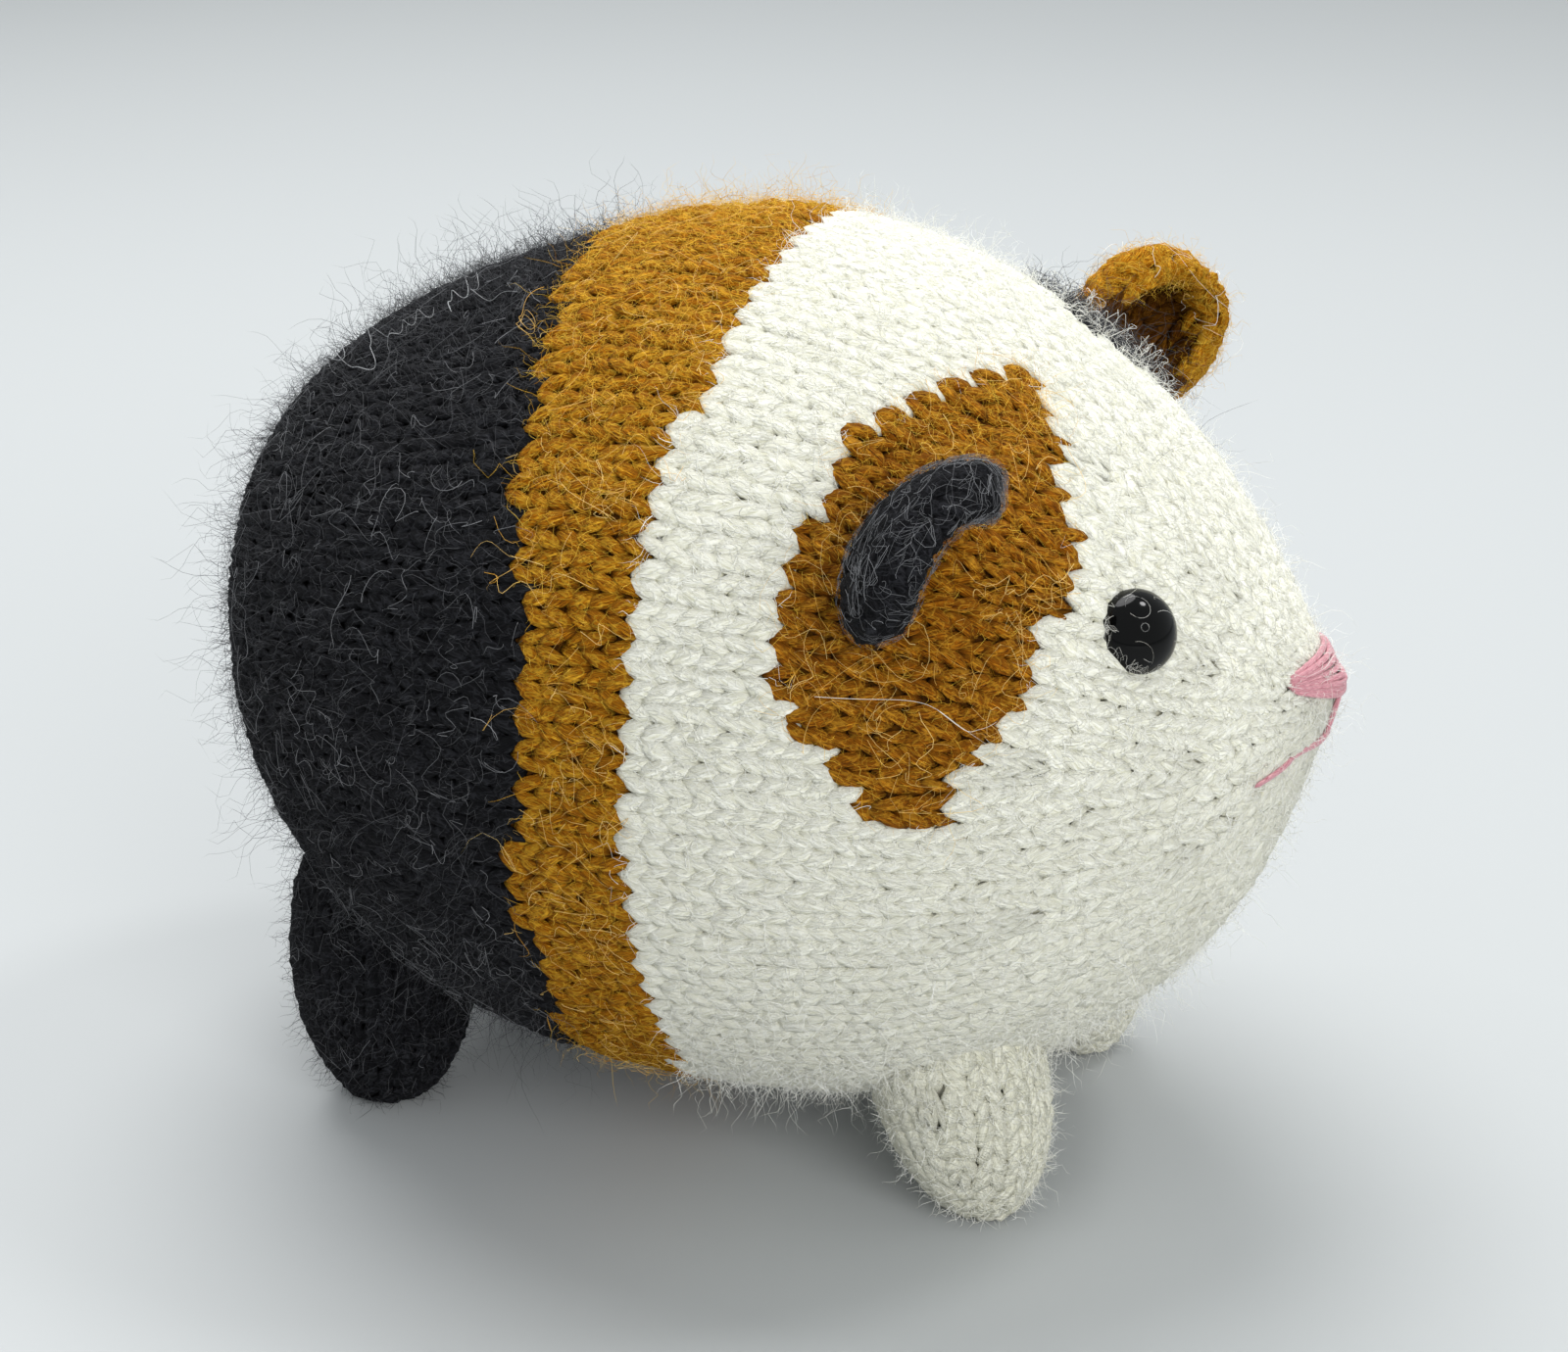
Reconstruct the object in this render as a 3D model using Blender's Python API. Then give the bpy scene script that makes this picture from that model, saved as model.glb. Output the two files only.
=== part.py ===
"""Hand-knitted toy guinea pig: a stuffed body in colour bands, stub legs, cup ears and an embroidered face.

The toy stands on a floor at z = 0, faces +X and has its right side towards -Y.  All sizes are in metres.

Every rounded piece starts as a unit ball whose points are moved by a formula.  On that ball `side` runs
towards the toy's right, `up` towards its back and `along` towards its nose, each from -1 to 1.
"""
import math

import bmesh
import bpy
from mathutils import Matrix, Vector

MM = 0.001
GAP = 0.3 * MM                      # clearance between pieces that touch
CREASE_ANGLE = math.radians(40)     # edges sharper than this stay sharp
POLE_GUARD = 0.03                   # normals are read at least this far, in radians, from a pole

# ---- Body ----
BODY_HALF_LENGTH = 75.3 * MM
BODY_SIDE_RATIO = 0.98              # width over height of every cross-section
# One value for each 30 degrees of the body's ball, from the rump's pole to the nose's pole.
BODY_RADIUS = [84.2 * MM, 66.7 * MM, 60.2 * MM, 59.2 * MM, 56.7 * MM, 45.2 * MM, 14.7 * MM]
BODY_HEIGHT = [70.5 * MM, 65.0 * MM, 63.0 * MM, 65.0 * MM, 62.5 * MM, 62.0 * MM, 71.0 * MM]
BODY_AROUND = 40
BODY_ALONG = 30

# ---- Thin cuts between the body's pieces ----
BAND_BACK = -15.5 * MM              # x of the cut between rump and waist band
BAND_FRONT = 2.5 * MM               # x of the cut between waist band and shoulders
HEAD_CUT_CENTRE = Vector((33.4 * MM, 0.0, 65.0 * MM))
HEAD_CUT_LEAN = math.radians(23.4)  # the head's cut leans back over the front legs

# ---- Legs: foot centre x, radius, ball centre height, ball half height, forward lean per unit of height ----
FOOT_SIDE = 23.5 * MM
REAR_LEG = (-49.6 * MM, 13.0 * MM, 22.0 * MM, 24.0 * MM, 0.0)
FRONT_LEG = (37.0 * MM, 12.0 * MM, 20.0 * MM, 21.5 * MM, 0.2)

# ---- Ears: stuffed double flaps, bent into a hollow and sewn to the sides of the head ----
EAR_ALONG = math.radians(115.0)
EAR_AROUND = math.radians(36.0)     # above the horizontal, on either side
EAR_HALF_WIDTH = 13.8 * MM          # measured round the bend
EAR_HALF_HEIGHT = 12.2 * MM
EAR_THICKNESS = 8.8 * MM
EAR_BEND = math.radians(61.0)       # each side of the flap is bent forward by this much
EAR_SET_BACK = 4.5 * MM             # from the seat to the middle of the flap
EAR_RIM_FULLNESS = 0.4              # power of the thickness profile: the smaller, the fatter the rim
# The direction each ear stands in, the direction its hollow faces, the height of the flap's middle above
# the head, and how far its tip leans over.
RIGHT_EAR = (Vector((0.45, -0.73, 0.52)), Vector((0.84, -0.02, -0.52)), 7.2 * MM, 1.3 * MM)
LEFT_EAR = (Vector((0.62, 0.47, 0.63)), Vector((0.71, -0.70, -0.14)), 9.0 * MM, 5.2 * MM)

# ---- Eyes: domed safety eyes pressed into the head, the left one a little further back and lower ----
RIGHT_EYE = (math.radians(136.8), math.radians(40.2))
LEFT_EYE = (math.radians(134.5), math.radians(145.5))
EYE_RADIUS = 5.2 * MM
EYE_DOME = 3.9 * MM
EYE_BACK = 1.4 * MM
EYE_SINK = 1.7 * MM

# ---- Nose and mouth ----
NOSE_HALF_WIDTH = 12.0 * MM
NOSE_HALF_HEIGHT = 3.4 * MM
NOSE_CENTRE_HEIGHT = 71.9 * MM
NOSE_EDGE = 0.15 * MM
NOSE_CROWN = 0.55 * MM
NOSE_TAPER = 0.38                   # share of the width that changes from the middle to the top edge
THREAD_RADIUS = 0.5 * MM
MOUTH_TOP = 68.2 * MM
MOUTH_JOIN = 63.4 * MM
MOUTH_HALF_WIDTH = 16.5 * MM
MOUTH_DROP = 1.4 * MM

WOOL_ROUGHNESS = 0.95
COLOURS = {
    "charcoal_wool": ((0.021, 0.021, 0.022), WOOL_ROUGHNESS),
    "mustard_wool": ((0.330, 0.130, 0.014), WOOL_ROUGHNESS),
    "white_wool": ((0.720, 0.710, 0.640), WOOL_ROUGHNESS),
    "eye_plastic": ((0.004, 0.004, 0.004), 0.06),
    "nose_thread": ((0.620, 0.250, 0.300), 0.60),
}


def clear_scene():
    for old in list(bpy.data.objects):
        bpy.data.objects.remove(old, do_unlink=True)


def make_collection(name):
    collection = bpy.data.collections.new(name)
    bpy.context.scene.collection.children.link(collection)
    return collection


def make_material(name):
    colour, roughness = COLOURS[name]
    material = bpy.data.materials.new(name)
    material.use_nodes = True
    shader = material.node_tree.nodes["Principled BSDF"]
    shader.inputs["Base Color"].default_value = (*colour, 1.0)
    shader.inputs["Roughness"].default_value = roughness
    shader.inputs["Metallic"].default_value = 0.0
    return material


def station_value(values, angle):
    """Read a smooth curve through evenly spaced station values, level at both poles."""
    spans = len(values) - 1
    place = min(max(angle / math.pi * spans, 0.0), spans - 1e-9)
    first = int(place)
    t = place - first
    padded = [values[1], *values, values[-2]]
    before, start, end, after = padded[first:first + 4]
    slope_in = (end - before) / 2
    slope_out = (after - start) / 2
    bend = 3 * (end - start) - 2 * slope_in - slope_out
    twist = 2 * (start - end) + slope_in + slope_out
    return start + slope_in * t + bend * t * t + twist * t ** 3


def body_point(side, up, along, grow=0.0):
    """Place a point of the unit ball on the body's surface."""
    angle = math.acos(max(-1.0, min(1.0, -along)))
    radius = station_value(BODY_RADIUS, angle) + grow
    height = station_value(BODY_HEIGHT, angle)
    return Vector((
        (BODY_HALF_LENGTH + grow) * along,
        -BODY_SIDE_RATIO * radius * side,
        height + radius * up,
    ))


def body_place(along_angle, around_angle):
    """Return the surface point and outward normal at two angles of the body's ball."""
    def at(f, t):
        return body_point(math.sin(f) * math.cos(t), math.sin(f) * math.sin(t), -math.cos(f))

    step = 0.01
    along_step = at(along_angle + step, around_angle) - at(along_angle - step, around_angle)
    around_step = at(along_angle, around_angle + step) - at(along_angle, around_angle - step)
    return at(along_angle, around_angle), along_step.cross(around_step).normalized()


def face_point(y, z, offset=0.0):
    """Return the point of the nose end that lies at this y and z, moved out by the offset."""
    low, high = math.pi / 2, math.pi
    for _ in range(40):
        angle = (low + high) / 2
        radius = station_value(BODY_RADIUS, angle)
        height = station_value(BODY_HEIGHT, angle)
        reach = math.hypot(y / (BODY_SIDE_RATIO * radius), (z - height) / radius)
        if reach < math.sin(angle):
            low = angle
        else:
            high = angle
    around = math.atan2((z - height) / radius, -y / (BODY_SIDE_RATIO * radius))
    point, normal = body_place(min(angle, math.pi - POLE_GUARD), around)
    return Vector((-BODY_HALF_LENGTH * math.cos(angle), y, z)) + normal * offset


def ball_mesh(name, place, around=24, along=16):
    """Make a closed mesh from a unit ball whose points are moved by the place function."""
    bm = bmesh.new()
    bmesh.ops.create_uvsphere(bm, u_segments=around, v_segments=along, radius=1.0)
    for vert in bm.verts:
        vert.co = place(vert.co.x, vert.co.y, vert.co.z)
    if bm.calc_volume(signed=True) < 0:
        bmesh.ops.reverse_faces(bm, faces=bm.faces)
    mesh = bpy.data.meshes.new(name)
    bm.to_mesh(mesh)
    bm.free()
    mesh.shade_smooth()
    return mesh


def slice_mesh(mesh, point, normal):
    """Cut away what lies on the normal's side of a plane and close the cut with one flat face."""
    bm = bmesh.new()
    bm.from_mesh(mesh)
    everything = [*bm.verts, *bm.edges, *bm.faces]
    cut = bmesh.ops.bisect_plane(
        bm, geom=everything, plane_co=point, plane_no=normal, clear_outer=True)
    rim = [part for part in cut["geom_cut"] if isinstance(part, bmesh.types.BMEdge)]
    bmesh.ops.edgeloop_fill(bm, edges=rim)
    bmesh.ops.recalc_face_normals(bm, faces=bm.faces)
    bm.to_mesh(mesh)
    bm.free()
    mesh.set_sharp_from_angle(angle=CREASE_ANGLE)


def add_object(name, mesh, collection, material=None, matrix=None):
    obj = bpy.data.objects.new(name, mesh)
    collection.objects.link(obj)
    if material:
        mesh.materials.append(material)
    if matrix:
        obj.matrix_world = matrix
    return obj


def add_cutter(name, mesh, cutters, matrix=None):
    cutter = add_object(name, mesh, cutters, matrix=matrix)
    cutter.hide_render = True
    cutter.display_type = "WIRE"
    return cutter


def subtract(obj, cutter):
    modifier = obj.modifiers.new("less_" + cutter.name, "BOOLEAN")
    modifier.operation = "DIFFERENCE"
    modifier.solver = "EXACT"
    modifier.object = cutter


def build_body(parts, materials):
    """Make the stuffed body as one ball and part it with thin cuts into four pieces."""
    lean = Vector((math.cos(HEAD_CUT_LEAN), 0.0, math.sin(HEAD_CUT_LEAN)))
    forward = Vector((1.0, 0.0, 0.0))
    cuts = [
        (forward * BAND_BACK, forward),
        (forward * BAND_FRONT, forward),
        (HEAD_CUT_CENTRE, lean),
    ]
    names = ["rump", "waist_band", "shoulders", "head"]
    wools = ["charcoal_wool", "mustard_wool", "white_wool", "white_wool"]
    pieces = {}
    for index, (name, wool) in enumerate(zip(names, wools)):
        mesh = ball_mesh(name, body_point, BODY_AROUND, BODY_ALONG)
        if index > 0:
            point, normal = cuts[index - 1]
            slice_mesh(mesh, point + normal * GAP / 2, -normal)
        if index < len(cuts):
            point, normal = cuts[index]
            slice_mesh(mesh, point - normal * GAP / 2, normal)
        pieces[name] = add_object(name, mesh, parts, materials[wool])
    return pieces


def build_legs(parts, materials, body_cutter):
    """Make four stub legs with flat soles, hollowed on top where they meet the body."""
    kinds = [("rear_leg", REAR_LEG, "charcoal_wool"), ("front_leg", FRONT_LEG, "white_wool")]
    for kind, (foot_x, radius, centre_height, half_height, lean), wool in kinds:
        for word, sign in (("right", -1), ("left", 1)):
            def place(side, up, along):
                z = centre_height + half_height * along
                x = foot_x + radius * up - lean * z
                return Vector((x, sign * FOOT_SIDE + radius * side, z))

            name = kind + "_" + word
            mesh = ball_mesh(name, place, around=20, along=14)
            slice_mesh(mesh, Vector((0, 0, 0)), Vector((0, 0, -1)))
            subtract(add_object(name, mesh, parts, materials[wool]), body_cutter)


def ear_place(rise, tip_lean):
    """Return the formula of a flap that is bent round an upright axis and leans over at its tip."""
    bend_radius = EAR_HALF_WIDTH / EAR_BEND

    def place(side, up, along):
        bend = EAR_BEND * side
        thickness = EAR_THICKNESS / 2 * math.copysign(abs(along) ** EAR_RIM_FULLNESS, along)
        reach = bend_radius - thickness
        return Vector((
            reach * math.sin(bend),
            rise + EAR_HALF_HEIGHT * up,
            bend_radius - reach * math.cos(bend) - EAR_SET_BACK + tip_lean * up * up,
        ))

    return place


def frame_matrix(origin, up, front):
    """Return a placement whose Y axis is up and whose Z axis is front."""
    up = up.normalized()
    front = (front - up * front.dot(up)).normalized()
    across = up.cross(front)
    matrix = Matrix((across, up, front)).transposed().to_4x4()
    matrix.translation = origin
    return matrix


def build_ears(parts, materials, body_cutter):
    """Sew on the ears, each in its own pose."""
    ears = [
        ("ear_right", EAR_AROUND, RIGHT_EAR, "charcoal_wool"),
        ("ear_left", math.pi - EAR_AROUND, LEFT_EAR, "mustard_wool"),
    ]
    for name, around, pose, wool in ears:
        outward, opening, rise, tip_lean = pose
        seat, _ = body_place(EAR_ALONG, around)
        mesh = ball_mesh(name, ear_place(rise, tip_lean), around=24, along=14)
        ear = add_object(name, mesh, parts, materials[wool], frame_matrix(seat, outward, opening))
        subtract(ear, body_cutter)


def build_eyes(parts, cutters, materials, head):
    """Set two domed eyes into sockets in the head."""
    def eye_place(grow):
        def place(side, up, along):
            depth = EYE_DOME if along > 0 else EYE_BACK
            return Vector(((EYE_RADIUS + grow) * side, (EYE_RADIUS + grow) * up, (depth + grow) * along))

        return place

    for name, angles in (("eye_right", RIGHT_EYE), ("eye_left", LEFT_EYE)):
        seat, normal = body_place(*angles)
        upright = Vector((0, 0, 1)) - normal * normal.z
        matrix = frame_matrix(seat - normal * EYE_SINK, upright, normal)
        add_object(name, ball_mesh(name, eye_place(0.0)), parts, materials["eye_plastic"], matrix)
        socket = add_cutter(name + "_socket", ball_mesh(name + "_socket", eye_place(GAP)), cutters, matrix)
        subtract(head, socket)


def build_nose(parts, materials):
    """Lay an embroidered pad, wider above than below, on the tip of the head."""
    def place(side, up, along):
        y = NOSE_HALF_WIDTH * side * (1.0 - NOSE_TAPER + NOSE_TAPER * up)
        z = NOSE_CENTRE_HEIGHT + NOSE_HALF_HEIGHT * up
        rise = NOSE_CROWN * along if along > 0 else NOSE_EDGE * along
        return face_point(y, z, GAP + NOSE_EDGE + rise)

    mesh = ball_mesh("nose", place, around=20, along=10)
    add_object("nose", mesh, parts, materials["nose_thread"])


def build_thread(name, points, parts, material):
    """Lay one embroidery thread along the given points."""
    curve = bpy.data.curves.new(name, "CURVE")
    curve.dimensions = "3D"
    curve.bevel_depth = THREAD_RADIUS
    curve.bevel_resolution = 2
    curve.use_fill_caps = True
    spline = curve.splines.new("POLY")
    spline.points.add(len(points) - 1)
    for control, point in zip(spline.points, points):
        control.co = (*point, 1.0)
    add_object(name, curve, parts, material)


def build_mouth(parts, materials):
    """Lay the upright thread under the nose and the thread of the smile."""
    offset = GAP + THREAD_RADIUS
    upright_end = MOUTH_JOIN + 2 * THREAD_RADIUS + GAP
    upright_steps = 3
    upright = [
        face_point(0.0, MOUTH_TOP + (upright_end - MOUTH_TOP) * step / upright_steps, offset)
        for step in range(upright_steps + 1)
    ]
    build_thread("mouth_upright", upright, parts, materials["nose_thread"])
    smile_steps = 7
    smile = []
    for step in range(-smile_steps, smile_steps + 1):
        share = step / smile_steps
        smile.append(face_point(MOUTH_HALF_WIDTH * share, MOUTH_JOIN - MOUTH_DROP * share * share, offset))
    build_thread("mouth_smile", smile, parts, materials["nose_thread"])


def main():
    clear_scene()
    parts = make_collection("knitted_guinea_pig")
    cutters = make_collection("cutters")
    materials = {name: make_material(name) for name in COLOURS}
    pieces = build_body(parts, materials)
    body_mesh = ball_mesh(
        "body_cutter", lambda *p: body_point(*p, grow=GAP), BODY_AROUND, BODY_ALONG)
    body_cutter = add_cutter("body_cutter", body_mesh, cutters)
    build_legs(parts, materials, body_cutter)
    build_ears(parts, materials, body_cutter)
    build_eyes(parts, cutters, materials, pieces["head"])
    build_nose(parts, materials)
    build_mouth(parts, materials)


main()
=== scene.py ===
"""Looks of the hand-knitted toy guinea pig.

The wool is knitted as real yarn: every stitch is two plump strands that form a V, laid out in rows and wales
over the stuffed forms.  Fine fibres stand out of the yarn.  Lengths in this file are in millimetres; meshes
are turned into metres when they are made.  The toy faces +X and has its right side towards -Y.

On the body `along` is the angle from the rump's pole to the nose's pole, and `around` is the share of a turn
from the right side over the back.
"""
import math
from functools import cached_property, partialmethod

import bpy
import numpy as np
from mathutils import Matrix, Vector


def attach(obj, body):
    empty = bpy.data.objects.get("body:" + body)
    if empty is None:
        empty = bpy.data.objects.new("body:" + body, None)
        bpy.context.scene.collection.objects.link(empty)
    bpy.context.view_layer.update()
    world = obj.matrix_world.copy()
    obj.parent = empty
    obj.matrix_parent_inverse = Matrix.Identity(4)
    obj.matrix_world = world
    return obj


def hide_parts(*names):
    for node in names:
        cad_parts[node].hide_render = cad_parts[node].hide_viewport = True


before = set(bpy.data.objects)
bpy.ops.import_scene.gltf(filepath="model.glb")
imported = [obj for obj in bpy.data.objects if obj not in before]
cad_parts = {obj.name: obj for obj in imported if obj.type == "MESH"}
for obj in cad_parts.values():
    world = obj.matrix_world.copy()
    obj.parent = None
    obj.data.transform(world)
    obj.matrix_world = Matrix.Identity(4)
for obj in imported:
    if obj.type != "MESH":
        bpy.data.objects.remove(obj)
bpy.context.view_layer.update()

MM = 0.001
TURN = 2 * math.pi
rng = np.random.default_rng(11)

# ---- Stuffed forms: the solids' own sizes, apart from the ears' dishes and shifts and the eyes' seats ----
NAP = 0.7  # the solids' outline stands this far outside the body's stitches
LIMB_NAP = 0.1  # and this far outside those of legs and ears
BODY_HALF_LENGTH = 75.3
BODY_SIDE_RATIO = 0.98
BODY_RADIUS = [84.2, 66.7, 60.2, 59.2, 56.7, 45.2, 14.7]
BODY_HEIGHT = [70.5, 65.0, 63.0, 65.0, 62.5, 62.0, 71.0]
FOOT_SIDE = 23.5
REAR_LEG = (-49.6, 13.0, 22.0, 24.0, 0.0)
FRONT_LEG = (37.0, 12.0, 20.0, 21.5, 0.2)
EAR_ALONG = math.radians(115.0)
EAR_AROUND = 36.0 / 360
EAR_HALF_WIDTH = 13.8
EAR_HALF_HEIGHT = 12.2
EAR_THICKNESS = 8.8
EAR_BEND = math.radians(61.0)
EAR_SET_BACK = 4.5
EAR_RIM_FULLNESS = 0.4
EAR_HOLLOW = 5.6  # depth of the dish in the front of an ear
EAR_HOLLOW_LOW = 0.2  # how far the dish sits towards the sewn edge
EAR_HOLLOW_SIZE = 0.78
EAR_HOLLOW_WALL = 2.2  # steepness of its wall
# An ear's direction, what its cup faces, its rise, the lean of its tip and its shift.
RIGHT_EAR = ((0.45, -0.73, 0.52), (0.84, -0.02, -0.52), 7.2, 1.3, (0.9, 0.0, 0.8))
LEFT_EAR = ((0.62, 0.47, 0.63), (0.71, -0.70, -0.14), 9.0, 5.2, (0.0, 0.0, 1.0))
RIGHT_EYE = (math.radians(137.6), 41.3 / 360)
LEFT_EYE = (math.radians(134.5), 145.5 / 360)
EYE_RADIUS = 5.2
EYE_DOME = 3.9
EYE_BACK = 1.4
EYE_SINK = 1.7
LEFT_EYE_SINK = 2.6
EYE_GRID = (31, 64)  # rings and sides of a dome
EYE_HAIRS = 26
FLOOR_GAP = 0.3  # lowest point of the yarn above the floor

# ---- Gauge ----
# Width of a wale, height of a row, number of sectors and most wales in a sector.
BODY_GAUGE = (4.1, 2.8, 26, 3)
LEG_GAUGE = (4.2, 2.6, 4, 5)
EAR_GAUGE = (4.4, 2.7, 2, 7)
BODY_INSET, LEG_INSET, EAR_INSET = 0.02, 0.03, 0.01  # angles left out at both poles
GRID_TURN = -1.5 / 360  # turn of the wales' grid round the body
LEAST_WALE = 0.42  # a narrower remainder of a wale is shared out
LEAST_END = 0.12  # at the very ends single wales may be this narrow
BODY_LINING = (1.5, 0.95)  # depth of the inner form under the stitches and how full it is stuffed
LEG_LINING = (1.8, 0.9)
EAR_LINING = (1.0, 0.4)
SEAM_MARGIN = 1.6  # limbs have no stitches deeper than this in the body
MEANDERS = [(31.0, 2, 0.20), (17.0, -5, 0.14), (11.0, 9, 0.10)]  # cycle, lobes round and size of the rows' sway

# ---- Colour chart of the body: x of each edge at angles round the body in degrees (0 right, 90 top) ----
RUMP_EDGE = [(-180, -17), (-120, -19), (-90, -20), (-60, -19), (-51, -17), (-41, -14.5), (-33, -14), (25, -14),
             (34, -17), (46, -18.5), (60, -20), (71, -23), (91, -26), (110, -24), (130, -20), (150, -15), (180, -17)]
BAND_EDGE = [(-180, -2), (-70, -1.5), (-46, 0.5), (33, 0.5), (46, 2), (60, 3.5), (104, 3.8), (120, 3), (140, 1),
             (180, 0.5)]
PATCH_REAR = [(3, 28.4), (7, 28.0), (11.5, 23.8), (16.5, 20.6), (23, 17.5), (37, 18.8), (45, 20.2), (51, 21.3),
              (57, 23.2), (62, 26.5), (68, 29.7), (72, 33.6), (75, 35)]
PATCH_FRONT = [(3, 38.6), (7, 38.8), (11.5, 40.2), (16.5, 43.4), (22, 45.6), (38, 46.6), (46, 47.8), (53, 46),
               (60, 44.2), (67, 42.6), (72, 40), (75, 38.5)]
PATCH_LOW, PATCH_HIGH = 4, 75  # angles between which the patches lie
PATCH_FROM = 10.0  # mustard stitches ahead of this x belong to the patch, not to the band
CHARCOAL, MUSTARD, WHITE = 0, 1, 2


def station_value(values, angle):
    """Read a smooth curve through evenly spaced station values, level at both poles."""
    spans = len(values) - 1
    place = np.clip(np.asarray(angle) / math.pi * spans, 0.0, spans - 1e-9)
    first = place.astype(int)
    t = place - first
    padded = np.array([values[1], *values, values[-2]])
    before, start, end, after = (padded[first + k] for k in range(4))
    slope_in = (end - before) / 2
    slope_out = (after - start) / 2
    bend = 3 * (end - start) - 2 * slope_in - slope_out
    twist = 2 * (start - end) + slope_in + slope_out
    return start + slope_in * t + bend * t * t + twist * t ** 3


def unit(vectors):
    length = np.linalg.norm(vectors, axis=-1, keepdims=True)
    return vectors / np.maximum(length, 1e-9)


def in_frame(point, directions, *places):
    """Return the points at these places along the directions that start at a point."""
    for place, direction in zip(places, directions):
        point = point + place[..., None] * direction
    return point


def body_form(along, around):
    """Outer face of the body's stitches."""
    turn = TURN * np.asarray(around)
    height = station_value(BODY_HEIGHT, along)
    reach = (station_value(BODY_RADIUS, along) - NAP) * np.sin(along)
    x = -(BODY_HALF_LENGTH - NAP) * np.cos(along) + 0 * turn
    return np.stack([x, -BODY_SIDE_RATIO * reach * np.cos(turn), height + reach * np.sin(turn)], axis=-1)


def form_normal(form, along, around, step=1e-3):
    """Outward normal of a form, from small steps along and round it."""
    return unit(np.cross(form(along + step, around) - form(along - step, around),
                         form(along, around + step) - form(along, around - step)))


def body_station(x):
    """Return the angle along the body at an x and the height of the body's axis there."""
    along = np.arccos(np.clip(-x / (BODY_HALF_LENGTH - NAP), -1, 1))
    return along, station_value(BODY_HEIGHT, along)


def leg_form(leg, sign):
    foot_x, radius, centre_height, half_height, lean = leg

    def form(along, around):
        """Outer face of a stub leg from its hidden top to its flattened sole."""
        turn = TURN * np.asarray(around)
        reach = (radius - LIMB_NAP) * np.sin(along)
        z = centre_height + (half_height - LIMB_NAP) * np.cos(along) + 0 * turn
        x = foot_x + reach * np.cos(turn) - lean * z
        y = sign * FOOT_SIDE + reach * np.sin(turn)
        return np.stack([x, y, np.maximum(z, FLOOR_GAP)], axis=-1)

    return form


def ear_form(pose, around_body):
    outward, opening, rise, tip_lean, shift = pose
    seat = body_form(np.array(EAR_ALONG), np.array(around_body)) + np.array(shift)
    up = unit(np.array(outward))
    front = unit(np.array(opening) - up * np.dot(opening, up))
    directions = np.cross(up, front), up, front
    bend_radius = EAR_HALF_WIDTH / EAR_BEND
    trim = 1 - NAP / EAR_HALF_HEIGHT

    def form(along, around):
        """Outer face of an ear's double flap from its sewn edge to its tip."""
        turn = TURN * (np.asarray(around) + 0.25)
        side = trim * np.sin(along) * np.cos(turn)
        height = -trim * np.cos(along) + 0 * turn
        depth = np.sin(along) * np.sin(turn)
        thickness = (EAR_THICKNESS / 2 - LIMB_NAP) * np.sign(depth) * np.abs(depth) ** EAR_RIM_FULLNESS
        reach = bend_radius - thickness
        a = reach * np.sin(EAR_BEND * side)
        b = rise + EAR_HALF_HEIGHT * height
        c = bend_radius - reach * np.cos(EAR_BEND * side) - EAR_SET_BACK + tip_lean * height * height
        spread = (side ** 2 + (height + EAR_HOLLOW_LOW) ** 2) / EAR_HOLLOW_SIZE
        dish = np.clip(EAR_HOLLOW_WALL * (1 - spread), 0, 1)
        dish = dish * dish * (3 - 2 * dish)
        c = c - np.where(thickness > 0, EAR_HOLLOW * dish, 0.0)
        return in_frame(seat, directions, a, b, c)

    return form


def inside_body(points, margin):
    """Tell which points lie deeper than the margin inside the body's form."""
    along, height = body_station(points[..., 0])
    reach = (station_value(BODY_RADIUS, along) - NAP) * np.sin(along)
    away = np.hypot(points[..., 1] / BODY_SIDE_RATIO, points[..., 2] - height)
    return away < reach - margin


class Surface:
    """A closed form that is knitted round, read by the distance along it and the share of the way round."""

    ROWS = 300
    COLUMNS = 144

    def __init__(self, form, inset):
        self.form = form
        self.along = np.linspace(inset, math.pi - inset, self.ROWS)
        around = np.linspace(0, 1, self.COLUMNS + 1)
        grid = form(self.along[:, None], around[None, :])
        steps = np.linalg.norm(np.diff(grid, axis=0), axis=2).mean(axis=1)
        self.distance = np.concatenate([[0.0], np.cumsum(steps)])
        ring = np.linalg.norm(np.diff(grid, axis=1), axis=2)
        self.girth = ring.sum(axis=1)
        share = np.concatenate([np.zeros((self.ROWS, 1)), np.cumsum(ring, axis=1)], axis=1)
        share /= np.maximum(self.girth, 1e-6)[:, None]
        self.even = np.array([np.interp(around, line, around) for line in share])

    def girth_at(self, distance):
        return np.interp(distance, self.distance, self.girth)

    def sample(self, distance, share):
        """Return points and outward normals."""
        along = np.interp(distance, self.distance, self.along)
        row = np.clip(np.interp(distance, self.distance, np.arange(self.ROWS)), 0, self.ROWS - 1.001)
        column = (share % 1.0) * self.COLUMNS
        r, c = row.astype(int), np.minimum(column.astype(int), self.COLUMNS - 1)
        rt, ct = row - r, column - c
        low = self.even[r, c] * (1 - ct) + self.even[r, c + 1] * ct
        high = self.even[r + 1, c] * (1 - ct) + self.even[r + 1, c + 1] * ct
        around = low * (1 - rt) + high * rt
        return self.form(along, around), form_normal(self.form, along, around)


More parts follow.
